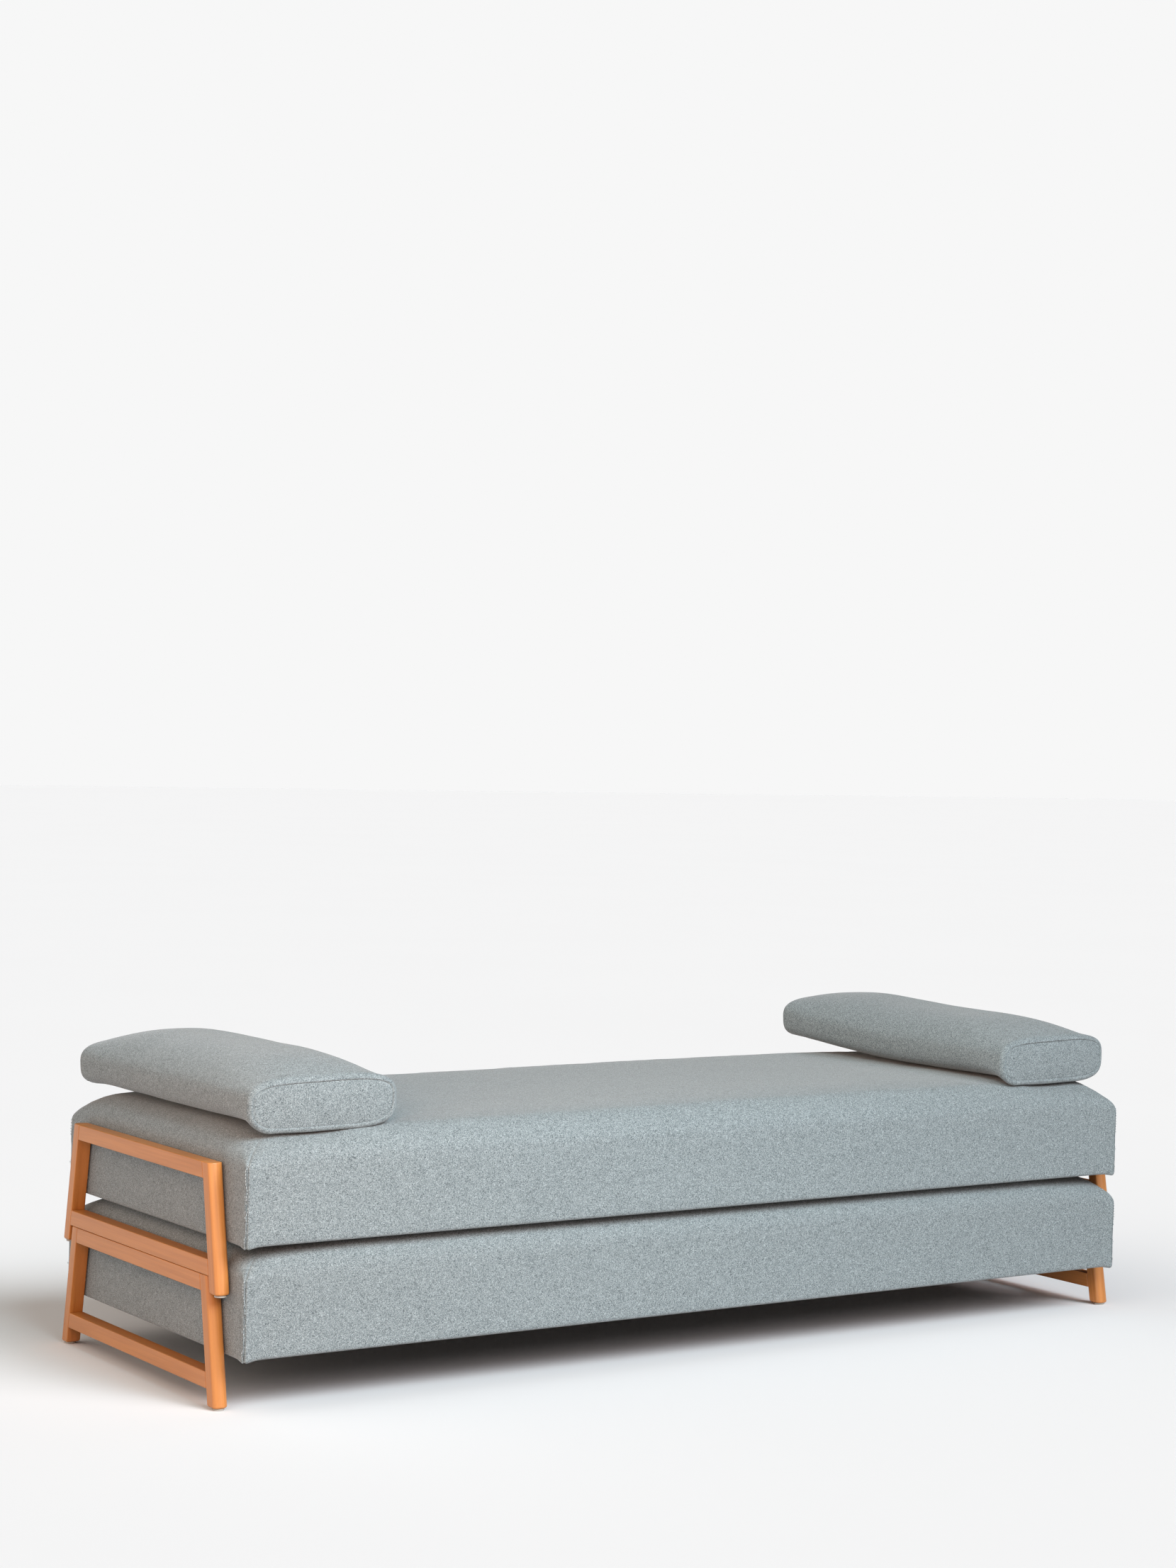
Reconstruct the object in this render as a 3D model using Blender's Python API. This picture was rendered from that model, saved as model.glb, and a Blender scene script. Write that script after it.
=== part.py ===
"""Two stacking day beds and two loose cushions: a sofa that comes apart into two single beds.

Units are metres, +Z is up, and the origin is on the floor under the middle of the stack.
X runs along the beds, and -Y is the front. Each bed is a slatted base wrapped in foam and fabric,
bolted between two beech end frames. The upper bed's stretchers rest on the lower bed's top rails,
and its feet stand astride the lower posts. Run with: blender --background --python part.py
"""
import math

import bmesh
import bpy
from mathutils import Matrix, Vector

# Upholstered base
MATTRESS_LENGTH = 1.900
MATTRESS_WIDTH = 0.700
UNDERSIDE_HEIGHT = 0.086     # floor to the underside of a bed's cover
STACK_AIR = 0.004            # between the lower cover's top and the upper cover's underside
TOP_ROUND = 0.040            # round along the cover's top edges
BOTTOM_ROUND = 0.008         # round along the cover's bottom edges
CORNER_ROUND = 0.014         # round of its upright corners
COVER_WALL = 0.002
COVER_HEM = 0.030            # width turned under the base, all round
LINING_THICKNESS = 0.0015
FOAM_LIP = 0.012             # foam that runs down the outside of the wooden base

# Wooden base inside the upholstery
BASE_RAIL_THICKNESS = 0.022
BASE_RAIL_HEIGHT = 0.055
SLAT_COUNT = 5
SLAT_WIDTH = 0.090
SLAT_THICKNESS = 0.012
SLAT_END_MARGIN = 0.120      # end of the base to the first slat's edge

# Beech end frames
FRAME_HEIGHT = 0.213         # floor to the top of the top rail
FRAME_THICKNESS = 0.026      # along X
FRAME_GAP = 0.002            # between cover and end frame
FRAME_INSET = 0.078          # mattress side to the outer side of a post's top
RAIL_HEIGHT = 0.027
STRETCHER_HEIGHT = 0.027
STRETCHER_CLEARANCE = 0.0315  # floor to the underside of the stretcher
POST_FLAT = 0.019            # flat width of a post's outer face
POST_CROWN = 0.008           # depth of a post's rounded side, half an ellipse
POST_CROWN_STEPS = 10
FOOT_CHAMFER = 0.0025        # round the bottom of each foot
STRADDLE_GAP = 0.0047        # between a lower post's top and the upper post beside it
WOOD_EDGE = 0.0015           # small round on the wood's edges
TENON_LENGTH = 0.012
TENON_THICKNESS = 0.010
TENON_HEIGHT = 0.016

# Fittings
GLIDE_RADIUS = 0.0100
GLIDE_THICKNESS = 0.003
GLIDE_PIN_RADIUS = 0.0015
GLIDE_PIN_LENGTH = 0.012
BOLT_RADIUS = 0.004
BOLT_HEAD_RADIUS = 0.008
BOLT_HEAD_HEIGHT = 0.005
BOLT_GRIP = 0.015            # depth of the bolt inside the post
ROUND_STEPS = 16             # sides of a turned fitting

# Loose cushions
CUSHION_DEPTH = 0.285        # along X
CUSHION_SIDE_MARGIN = 0.0175  # mattress side to the cushion's end
CUSHION_END_HEIGHT = 0.068
CUSHION_MIDDLE_HEIGHT = 0.132
CUSHION_END_LIFT = 0.005     # the underside curls up this much at each end
CUSHION_WALL = 0.002
CUSHION_PAD_FIT = 0.002      # between the cover's inside and its pad
CUSHION_SLIT_LENGTH = 0.500  # closure along the underside, near the outer end
CUSHION_SLIT_WIDTH = 0.003
CUSHION_SLIT_INSET = 0.060   # cushion side to the closure
CUSHION_STATIONS = 10        # cross-sections along the length
CUSHION_LEFT_MARGIN = 0.007  # mattress end to the left cushion's outer side
CUSHION_RIGHT_MARGIN = 0.0185
CUSHION_SHIFT = 0.006        # both cushions lie this far behind the middle

GAP = 0.0003                 # between pieces that touch
FIT = 0.0005                 # running clearance of foam and base inside the cover

# Sizes that follow from the ones above
STACK_PITCH = FRAME_HEIGHT + GAP - STRETCHER_CLEARANCE
MATTRESS_HEIGHT = STACK_PITCH - STACK_AIR
POST_WIDTH = POST_FLAT + POST_CROWN
SPLAY = (POST_WIDTH + STRADDLE_GAP) / STACK_PITCH    # outward run of a post for each metre down
POST_TOP_INNER = MATTRESS_WIDTH / 2 - FRAME_INSET - POST_WIDTH
BASE_INSET = COVER_WALL + FIT + FOAM_LIP + FIT       # cover's outer face to the wooden base
BASE_HALF_LENGTH = MATTRESS_LENGTH / 2 - BASE_INSET
BASE_HALF_WIDTH = MATTRESS_WIDTH / 2 - BASE_INSET
BASE_BOTTOM = UNDERSIDE_HEIGHT + COVER_WALL + GAP
SLAT_BOTTOM = BASE_BOTTOM + BASE_RAIL_HEIGHT + GAP
SLAT_TOP = SLAT_BOTTOM + SLAT_THICKNESS
COVER_TOP = UNDERSIDE_HEIGHT + MATTRESS_HEIGHT
FRAME_INNER_X = MATTRESS_LENGTH / 2 + FRAME_GAP
FRAME_MIDDLE_X = FRAME_INNER_X + FRAME_THICKNESS / 2
BOLT_HEIGHT = BASE_BOTTOM + BASE_RAIL_HEIGHT / 2
SEAT_HEIGHT = STACK_PITCH + COVER_TOP
CUSHION_LENGTH = MATTRESS_WIDTH - 2 * CUSHION_SIDE_MARGIN

SIDES = (("front", -1), ("back", 1))
ENDS = (("left", -1), ("right", 1))
UNITS = (("lower", 0.0), ("upper", STACK_PITCH))


def post_inner_y(z):
    """Distance from the bed's middle plane to a post's inner face at height z."""
    return POST_TOP_INNER + SPLAY * (FRAME_HEIGHT - z)


def make_material(name, color, roughness, metallic=0.0):
    material = bpy.data.materials.new(name)
    material.use_nodes = True
    shader = material.node_tree.nodes["Principled BSDF"]
    shader.inputs["Base Color"].default_value = (*color, 1.0)
    shader.inputs["Roughness"].default_value = roughness
    shader.inputs["Metallic"].default_value = metallic
    material.diffuse_color = (*color, 1.0)
    return material


def make_materials():
    return {
        "beech": make_material("lacquered_beech", (0.56, 0.26, 0.10), 0.38),
        "pine": make_material("sawn_pine", (0.72, 0.56, 0.36), 0.70),
        "fabric": make_material("grey_melange_fabric", (0.30, 0.33, 0.34), 0.95),
        "foam": make_material("polyurethane_foam", (0.85, 0.80, 0.62), 0.90),
        "lining": make_material("black_nonwoven_lining", (0.03, 0.03, 0.03), 0.90),
        "steel": make_material("zinc_plated_steel", (0.62, 0.63, 0.64), 0.35, 1.0),
        "plastic": make_material("grey_plastic_glide", (0.60, 0.60, 0.58), 0.50),
    }


def add_object(name, bm, material, parent, smooth=False):
    """Link a finished bmesh as one object with one material."""
    bmesh.ops.recalc_face_normals(bm, faces=bm.faces[:])
    mesh = bpy.data.meshes.new(name)
    bm.to_mesh(mesh)
    bm.free()
    if smooth:
        mesh.shade_smooth()
        mesh.set_sharp_from_angle(angle=math.radians(40))
    piece = bpy.data.objects.new(name, mesh)
    piece.parent = parent
    bpy.context.collection.objects.link(piece)
    if material:
        mesh.materials.append(material)
    return piece


def ring_faces(bm, rings):
    """Skin neighbouring closed rings of vertices and cap both ends."""
    for lower, upper in zip(rings, rings[1:]):
        for i in range(len(lower)):
            j = (i + 1) % len(lower)
            bm.faces.new((lower[i], lower[j], upper[j], upper[i]))
    bm.faces.new(rings[0])
    bm.faces.new(rings[-1])


def lofted(name, outlines, material, parent, smooth=False):
    """Closed solid through a list of outlines, each a list of points of the same count."""
    bm = bmesh.new()
    ring_faces(bm, [[bm.verts.new(point) for point in outline] for outline in outlines])
    return add_object(name, bm, material, parent, smooth)


def prism(name, outline, travel, material, parent):
    """Flat outline pushed along a straight vector."""
    travel = Vector(travel)
    first = [Vector(point) for point in outline]
    return lofted(name, [first, [point + travel for point in first]], material, parent)


def block(name, low, high, material, parent):
    (x0, y0, z0), (x1, y1, z1) = low, high
    outline = [(x0, y0, z0), (x1, y0, z0), (x1, y1, z0), (x0, y1, z0)]
    return prism(name, outline, (0, 0, z1 - z0), material, parent)


def turned(name, profile, material, parent, place):
    """Solid of revolution from (radius, height) points, moved by the matrix place."""
    bm = bmesh.new()
    rings = []
    for radius, height in profile:
        turns = [2 * math.pi * i / ROUND_STEPS for i in range(ROUND_STEPS)]
        points = [(radius * math.cos(t), radius * math.sin(t), height) for t in turns]
        rings.append([bm.verts.new(place @ Vector(point)) for point in points])
    ring_faces(bm, rings)
    return add_object(name, bm, material, parent, smooth=True)


def boolean(piece, cutter, operation="DIFFERENCE"):
    modifier = piece.modifiers.new(cutter.name, "BOOLEAN")
    modifier.operation = operation
    modifier.object = cutter


def as_cutter(piece):
    piece.hide_render = True
    piece.display_type = "WIRE"
    return piece


def soften_edges(piece, width):
    bevel = piece.modifiers.new("Edge", "BEVEL")
    bevel.width = width
    bevel.segments = 2
    bevel.limit_method = "ANGLE"
    bevel.angle_limit = math.radians(35)


def rounded_outline(half_x, half_y, radius, z, steps=3):
    """Rectangle with round corners at height z."""
    points = []
    for quarter, (sx, sy) in enumerate(((1, 1), (-1, 1), (-1, -1), (1, -1))):
        for i in range(steps + 1):
            angle = math.pi / 2 * (quarter + i / steps)
            points.append((sx * (half_x - radius) + radius * math.cos(angle),
                           sy * (half_y - radius) + radius * math.sin(angle), z))
    return points


def box_skin(inset, bottom, top, bottom_round, steps=5):
    """Outlines from the bottom edge to the top of the upholstered box, set in from its outside."""
    half_x = MATTRESS_LENGTH / 2 - inset
    half_y = MATTRESS_WIDTH / 2 - inset
    corner = CORNER_ROUND - inset
    top_round = TOP_ROUND - inset
    outlines = []
    for i in range(3):
        angle = math.pi / 4 * i
        shrink = bottom_round * (1 - math.sin(angle))
        z = bottom + bottom_round * (1 - math.cos(angle))
        outlines.append(rounded_outline(half_x - shrink, half_y - shrink, corner, z))
    for i in range(steps + 1):
        angle = math.pi / 2 * i / steps
        shrink = top_round * (1 - math.cos(angle))
        z = top - top_round * (1 - math.sin(angle))
        outlines.append(rounded_outline(half_x - shrink, half_y - shrink, corner, z))
    return outlines


def hem_outline(z, extra=0.0):
    """Edge of the opening that the hem leaves under the base."""
    inset = COVER_HEM + extra
    return rounded_outline(MATTRESS_LENGTH / 2 - inset, MATTRESS_WIDTH / 2 - inset, CORNER_ROUND / 2, z)


def make_cover(unit, materials, parent):
    """Fabric box, open underneath inside its turned-under hem."""
    inside = box_skin(COVER_WALL, UNDERSIDE_HEIGHT + COVER_WALL, COVER_TOP - COVER_WALL,
                      BOTTOM_ROUND - COVER_WALL)
    outside = box_skin(0.0, UNDERSIDE_HEIGHT, COVER_TOP, BOTTOM_ROUND)
    rim = [hem_outline(UNDERSIDE_HEIGHT + COVER_WALL), hem_outline(UNDERSIDE_HEIGHT)]
    return lofted(f"{unit}_cover", inside[::-1] + rim + outside, materials["fabric"], parent, smooth=True)


def make_foam(unit, materials, parent):
    """Foam block whose lip hangs down round the wooden base."""
    inset = COVER_WALL + FIT
    outside = box_skin(inset, BASE_BOTTOM + FIT, COVER_TOP - inset, BOTTOM_ROUND - inset)
    half_x = BASE_HALF_LENGTH + FIT
    half_y = BASE_HALF_WIDTH + FIT
    corner = GAP
    hollow = [rounded_outline(half_x, half_y, corner, z) for z in (SLAT_TOP + GAP, BASE_BOTTOM + FIT)]
    return lofted(f"{unit}_foam_core", hollow + outside, materials["foam"], parent)


def make_lining(unit, materials, parent):
    low = UNDERSIDE_HEIGHT
    outlines = [hem_outline(z, GAP) for z in (low, low + LINING_THICKNESS)]
    return lofted(f"{unit}_underside_lining", outlines, materials["lining"], parent)


def make_base(unit, materials, parent):
    """Two side rails, two end rails between them, and the slats on top."""
    pine = materials["pine"]
    top = BASE_BOTTOM + BASE_RAIL_HEIGHT
    inner_y = BASE_HALF_WIDTH - BASE_RAIL_THICKNESS
    for side, sign in SIDES:
        y0, y1 = sorted((sign * inner_y, sign * BASE_HALF_WIDTH))
        block(f"{unit}_base_rail_{side}", (-BASE_HALF_LENGTH, y0, BASE_BOTTOM), (BASE_HALF_LENGTH, y1, top),
              pine, parent)
    end_rails = {}
    for end, sign in ENDS:
        x0, x1 = sorted((sign * (BASE_HALF_LENGTH - BASE_RAIL_THICKNESS), sign * BASE_HALF_LENGTH))
        end_rails[end] = block(f"{unit}_base_end_rail_{end}", (x0, GAP - inner_y, BASE_BOTTOM),
                               (x1, inner_y - GAP, top), pine, parent)
    first = SLAT_WIDTH / 2 + SLAT_END_MARGIN - BASE_HALF_LENGTH
    pitch = -2 * first / (SLAT_COUNT - 1)
    for number in range(SLAT_COUNT):
        x = first + pitch * number
        block(f"{unit}_slat_{number + 1}", (x - SLAT_WIDTH / 2, -BASE_HALF_WIDTH, SLAT_BOTTOM),
              (x + SLAT_WIDTH / 2, BASE_HALF_WIDTH, SLAT_TOP), pine, parent)
    return end_rails


def post_section(sign_x, sign_y, z, inset=0.0):
    """Outline of a post at height z: flat faces inside and out, and a rounded outer side."""
    half = FRAME_THICKNESS / 2 - inset
    points = [(-half, inset)]
    for i in range(POST_CROWN_STEPS + 1):
        angle = math.pi * i / POST_CROWN_STEPS
        points.append((-half * math.cos(angle), POST_FLAT + (POST_CROWN - inset) * math.sin(angle)))
    points.append((half, inset))
    inner = post_inner_y(z)
    return [(sign_x * (FRAME_MIDDLE_X + x), sign_y * (inner + y), z) for x, y in points]


def make_post(unit, end, sign_x, side, sign_y, materials, parent):
    name = f"{unit}_post_{side}_{end}"
    foot = GLIDE_THICKNESS + GAP
    outlines = [post_section(sign_x, sign_y, foot, FOOT_CHAMFER)]
    outlines += [post_section(sign_x, sign_y, z) for z in (foot + FOOT_CHAMFER, FRAME_HEIGHT)]
    post = lofted(name, outlines, materials["beech"], parent, smooth=True)
    soften_edges(post, WOOD_EDGE)
    return post


def tenon(name, sign_x, sign_y, z, clearance, parent):
    """Tenon block at height z, which starts inside its rail and ends inside the post."""
    half_x = TENON_THICKNESS / 2 + clearance
    half_z = TENON_HEIGHT / 2 + clearance
    inner = post_inner_y(z)
    y0, y1 = sorted((sign_y * (inner - TENON_LENGTH), sign_y * (inner + TENON_LENGTH + clearance)))
    x = sign_x * FRAME_MIDDLE_X
    return as_cutter(block(name, (x - half_x, y0, z - half_z), (x + half_x, y1, z + half_z), None, parent))


def make_crossbar(name, end_sign, bottom, height, posts, materials, parent):
    """Rail or stretcher between two posts, with a tenon into each of them."""
    top = bottom + height
    x0 = end_sign * FRAME_INNER_X
    outline = [(x0, sign * (post_inner_y(z) - GAP), z)
               for sign, z in ((-1, bottom), (1, bottom), (1, top), (-1, top))]
    bar = prism(name, outline, (end_sign * FRAME_THICKNESS, 0, 0), materials["beech"], parent)
    soften_edges(bar, WOOD_EDGE)
    middle = bottom + height / 2
    for side, sign in SIDES:
        boolean(bar, tenon(f"{name}_tenon_{side}", end_sign, sign, middle, 0.0, parent), "UNION")
        boolean(posts[side], tenon(f"{name}_mortise_{side}", end_sign, sign, middle, GAP, parent))


def make_glide(unit, end, sign_x, side, sign_y, post, materials, parent):
    """Floor glide with a pin driven into the foot."""
    y = sign_y * (post_inner_y(0.0) + POST_WIDTH / 2)
    place = Matrix.Translation((sign_x * FRAME_MIDDLE_X, y, 0.0))
    pin_top = GLIDE_THICKNESS + GLIDE_PIN_LENGTH
    rim = GLIDE_THICKNESS / 3
    profile = [(GLIDE_RADIUS - rim, 0), (GLIDE_RADIUS, rim), (GLIDE_RADIUS, GLIDE_THICKNESS),
               (GLIDE_PIN_RADIUS, GLIDE_THICKNESS), (GLIDE_PIN_RADIUS, pin_top)]
    turned(f"{unit}_glide_{side}_{end}", profile, materials["plastic"], parent, place)
    bore = [(GLIDE_PIN_RADIUS + GAP, 0), (GLIDE_PIN_RADIUS + GAP, pin_top + GAP)]
    boolean(post, as_cutter(turned(f"{post.name}_pin_bore", bore, None, parent, place)))


def make_bolt(unit, end, sign_x, side, sign_y, pierced, materials, parent):
    """Bolt from inside the base's end rail into the post, and its bore through what it passes."""
    y = sign_y * (post_inner_y(BOLT_HEIGHT) + POST_FLAT / 2)
    start = BASE_HALF_LENGTH - BASE_RAIL_THICKNESS - GAP
    length = FRAME_INNER_X + BOLT_GRIP - start
    turn = Matrix.Rotation(sign_x * math.pi / 2, 4, "Y")
    place = Matrix.Translation((sign_x * start, y, BOLT_HEIGHT)) @ turn
    profile = [(BOLT_HEAD_RADIUS, -BOLT_HEAD_HEIGHT), (BOLT_HEAD_RADIUS, 0), (BOLT_RADIUS, 0),
               (BOLT_RADIUS, length)]
    turned(f"{unit}_frame_bolt_{side}_{end}", profile, materials["steel"], parent, place)
    bore = [(BOLT_RADIUS + GAP, -GAP), (BOLT_RADIUS + GAP, length + GAP)]
    cutter = as_cutter(turned(f"{unit}_bolt_bore_{side}_{end}", bore, None, parent, place))
    for piece in pierced:
        boolean(piece, cutter)


def make_end_frame(unit, end, sign_x, pierced, materials, parent):
    """Two splayed posts, a top rail, a stretcher, and their glides and bolts."""
    posts = {}
    for side, sign_y in SIDES:
        posts[side] = make_post(unit, end, sign_x, side, sign_y, materials, parent)
    make_crossbar(f"{unit}_top_rail_{end}", sign_x, FRAME_HEIGHT - RAIL_HEIGHT, RAIL_HEIGHT, posts,
                  materials, parent)
    make_crossbar(f"{unit}_stretcher_{end}", sign_x, STRETCHER_CLEARANCE, STRETCHER_HEIGHT, posts,
                  materials, parent)
    for side, sign_y in SIDES:
        make_glide(unit, end, sign_x, side, sign_y, posts[side], materials, parent)
        make_bolt(unit, end, sign_x, side, sign_y, pierced + [posts[side]], materials, parent)


def make_unit(unit, lift, materials):
    """One complete bed, standing lift above the floor."""
    parent = bpy.data.objects.new(f"{unit}_bed", None)
    parent.location.z = lift
    bpy.context.collection.objects.link(parent)
    cover = make_cover(unit, materials, parent)
    foam = make_foam(unit, materials, parent)
    make_lining(unit, materials, parent)
    end_rails = make_base(unit, materials, parent)
    for end, sign_x in ENDS:
        make_end_frame(unit, end, sign_x, [cover, foam, end_rails[end]], materials, parent)


def cushion_skin(inset):
    """Cross-sections of a cushion along Y, set in from its outside; z is from its lowest point."""
    half_x = CUSHION_DEPTH / 2 - inset
    half_y = CUSHION_LENGTH / 2 - inset
    outlines = []
    for i in range(CUSHION_STATIONS + 1):
        t = -math.cos(math.pi * i / CUSHION_STATIONS)
        swell = 1 - abs(t) ** 2.4
        low = CUSHION_END_LIFT * (1 - swell) + inset
        high = CUSHION_END_LIFT * (1 - swell) - inset
        high += CUSHION_END_HEIGHT + (CUSHION_MIDDLE_HEIGHT - CUSHION_END_HEIGHT) * swell
        outlines.append(cushion_section(half_x, low, high, t * half_y))
    return outlines


def cushion_section(half_x, low, high, y, steps=20):
    """Box section with round sides: a superellipse that is flatter underneath."""
    points = []
    middle = low + (high - low) * 0.45
    for i in range(steps):
        angle = 2 * math.pi * i / steps
        c, s = math.cos(angle), math.sin(angle)
        power = 0.62 if s >= 0 else 0.45
        reach = (high - middle) if s >= 0 else (middle - low)
        points.append((half_x * math.copysign(abs(c) ** 0.55, c), y,
                       middle + reach * math.copysign(abs(s) ** power, s)))
    return points


def make_cushion(end, x, materials):
    """Cover with its pad inside, lying across the upper bed."""
    parent = bpy.data.objects.new(f"{end}_cushion", None)
    parent.location = (x, CUSHION_SHIFT, SEAT_HEIGHT + GAP)
    bpy.context.collection.objects.link(parent)
    cover = lofted(f"cushion_cover_{end}", cushion_skin(0.0), materials["fabric"], parent, smooth=True)
    hollow = lofted(f"cushion_hollow_{end}", cushion_skin(CUSHION_WALL), None, parent)
    boolean(cover, as_cutter(hollow))
    outer = math.copysign(CUSHION_DEPTH / 2 - CUSHION_SLIT_INSET, x)
    slit = block(f"cushion_slit_{end}", (outer - CUSHION_SLIT_WIDTH / 2, -CUSHION_SLIT_LENGTH / 2, -0.01),
                 (outer + CUSHION_SLIT_WIDTH / 2, CUSHION_SLIT_LENGTH / 2, 0.02), None, parent)
    boolean(cover, as_cutter(slit))
    lofted(f"cushion_pad_{end}", cushion_skin(CUSHION_WALL + CUSHION_PAD_FIT), materials["foam"], parent)


def main():
    for old in list(bpy.data.objects):
        bpy.data.objects.remove(old, do_unlink=True)
    materials = make_materials()
    for unit, lift in UNITS:
        make_unit(unit, lift, materials)
    reach = (MATTRESS_LENGTH - CUSHION_DEPTH) / 2
    make_cushion("left", CUSHION_LEFT_MARGIN - reach, materials)
    make_cushion("right", reach - CUSHION_RIGHT_MARGIN, materials)


main()
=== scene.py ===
"""Finished surfaces for a sofa made of two stacked day beds and two loose cushions.

Laid out as an add-on: sizes and colours are properties, and each operator makes one group of pieces
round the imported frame. Units are metres, X runs along the beds and -Y is the front.
"""

import math

import bmesh
import bpy
import numpy as np
from bpy.props import FloatProperty, FloatVectorProperty, PointerProperty
from bpy.types import Operator, Panel, PropertyGroup
from mathutils import Matrix, Vector, noise
from mathutils.kdtree import KDTree


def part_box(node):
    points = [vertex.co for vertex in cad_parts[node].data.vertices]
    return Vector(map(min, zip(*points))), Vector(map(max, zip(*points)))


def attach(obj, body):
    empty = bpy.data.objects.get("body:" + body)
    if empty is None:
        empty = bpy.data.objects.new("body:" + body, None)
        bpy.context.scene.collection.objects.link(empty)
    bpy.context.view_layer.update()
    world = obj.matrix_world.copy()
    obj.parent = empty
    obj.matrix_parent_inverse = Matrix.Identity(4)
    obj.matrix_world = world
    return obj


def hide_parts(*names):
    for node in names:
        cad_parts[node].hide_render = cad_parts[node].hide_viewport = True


bl_info = {
    "name": "Stacking Day Bed Sofa",
    "version": (1, 0, 0),
    "blender": (4, 5, 0),
    "location": "View3D > Sidebar > Day Bed",
    "description": "Upholsters, stitches, finishes and lights a sofa of two stacked day beds",
    "category": "Object",
}

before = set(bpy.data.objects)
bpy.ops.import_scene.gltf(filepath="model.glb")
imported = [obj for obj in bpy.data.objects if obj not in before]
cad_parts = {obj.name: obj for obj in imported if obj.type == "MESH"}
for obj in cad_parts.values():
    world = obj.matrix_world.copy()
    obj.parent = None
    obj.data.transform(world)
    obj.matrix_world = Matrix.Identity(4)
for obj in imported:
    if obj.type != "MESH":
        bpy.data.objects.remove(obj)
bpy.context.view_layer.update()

MM = 0.001
UNITS = ("lower", "upper")
ENDS = (("left", -1), ("right", 1))
SIDES = (("front", -1), ("back", 1))
BODIES = {"lower": "lower_bed", "upper": "upper_bed"}


def linear(hex_color):
    """Linear red, green and blue of an sRGB hex colour."""
    channels = [int(hex_color[i:i + 2], 16) / 255 for i in (1, 3, 5)]
    return tuple(c / 12.92 if c <= 0.04045 else ((c + 0.055) / 1.055) ** 2.4 for c in channels)


# ---- Sizes and colours ----

def metres(name, description, default, **limits):
    return FloatProperty(name=name, description=description, default=default, unit="LENGTH", **limits)


def amount(name, description, default, **limits):
    return FloatProperty(name=name, description=description, default=default, **limits)


def paint(name, description, hex_color):
    return FloatVectorProperty(name=name, description=description, size=3, subtype="COLOR",
                               default=linear(hex_color))


class DayBedCoverSettings(PropertyGroup):
    top_round: metres("Top Round", "Round along the top edges", 0.045, min=0.01)
    bottom_round: metres("Bottom Round", "Round along the bottom edges", 0.007, min=0.002)
    corner_round: metres("Corner Round", "Round of the upright corners", 0.007, min=0.002)
    corner_top_round: metres("Corner Top Round", "Round of a corner seen from above", 0.058, min=0.01)
    corner_drop: metres("Corner Drop", "How far the top sinks at a corner", 0.010, min=0.0)
    edge_sag: metres("Edge Sag", "How far the bottom edge hangs below the base", 0.0020)
    tip_sag: metres("Tip Sag", "How much further its corners hang", 0.0060)
    hem: metres("Hem", "Cloth turned under the base", 0.030)
    wall: metres("Cloth", "Thickness of the cloth", 0.0018)
    waist: metres("Waist", "How far the bottom edge is drawn in", 0.001)
    crown: metres("Crown", "Rise of the upper bed's top", 0.008)
    top_swell: metres("Top Swell", "Crown of the top", 0.006)
    side_swell: metres("Side Swell", "Bulge of the long sides", 0.006)
    end_swell: metres("End Swell", "Bulge of the ends", 0.0012)
    pressure: amount("Pressure", "Push of the foam against the cloth", 4.0)
    ripple: metres("Ripple", "Height of the slow unevenness of the cloth", 0.0011)
    seam_depth: metres("Seam Depth", "Depth of a corner seam", 0.0016)
    seam_width: metres("Seam Width", "Half width of a corner seam's valley", 0.0016)
    cloth_color: paint("Cloth", "Mean colour of the felted wool", "#71787A")
    light_fleck: paint("Light Fleck", "Undyed fibres", "#979EA0")
    dark_fleck: paint("Dark Fleck", "Charcoal fibres", "#343B3F")


class DayBedCushionSettings(PropertyGroup):
    end_height: metres("End Height", "Height of the ends", 0.091)
    crown: metres("Crown", "How much higher the middle is than the ends", 0.036)
    crown_power: amount("Crown Length", "How late the crown falls towards the ends", 4.4)
    dome_power: amount("Crown Width", "How late the crown falls towards the sides", 2.5)
    side_power: amount("Side Curve", "Below 1, the sides are square", 0.45)
    edge_power: amount("Edge Curve", "Below 1, the edges are square", 0.62)
    lift_left: metres("Left Lift", "How far the left cushion's far end is raised", 0.003)
    lift_right: metres("Right Lift", "How far the right cushion's far end is raised", 0.030)
    raise_right: metres("Right Raise", "How far the crown raises the right cushion", 0.005)
    turn_left: amount("Left Turn", "How far the left cushion is turned", math.radians(0.8), unit="ROTATION")
    turn_right: amount("Right Turn", "How far the right cushion is turned", math.radians(2.9),
                       unit="ROTATION")
    droop: metres("Droop", "How far the front edge hangs below the seat", 0.0105)
    edge_round: metres("Edge Round", "Round between the sleeve and an end panel", 0.009)
    rim_inset: metres("Rim", "Width of the sleeve's rim in front of an end panel", 0.0085)
    seam_depth: metres("Seam Depth", "Depth of the panel's seam", 0.0022)
    panel_dome: metres("Panel Dome", "Bulge of an end panel", 0.004)
    swell: metres("Swell", "Most that the filling pushes the cloth out", 0.005)
    pressure: amount("Pressure", "Push of the filling", 4.0)


class DayBedStitchSettings(PropertyGroup):
    pitch: metres("Pitch", "From one stitch to the next", 0.0052)
    length: metres("Length", "Length of a stitch", 0.0036)
    thread: metres("Thread", "Thickness of the thread", 0.0010)
    offset: metres("Offset", "From the seam to the stitches", 0.0028)
    thread_color: paint("Thread", "Spun polyester thread", "#A9B0B2")


class DayBedWoodSettings(PropertyGroup):
    beech: paint("Beech", "Stained beech under satin lacquer", "#B47236")
    beech_dark: paint("Beech Grain", "Late wood and ray flecks", "#A5652B")
    pine: paint("Pine", "Sawn pine of the base", "#D9B988")
    pine_dark: paint("Pine Grain", "Late wood of the pine", "#B98A55")


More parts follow.
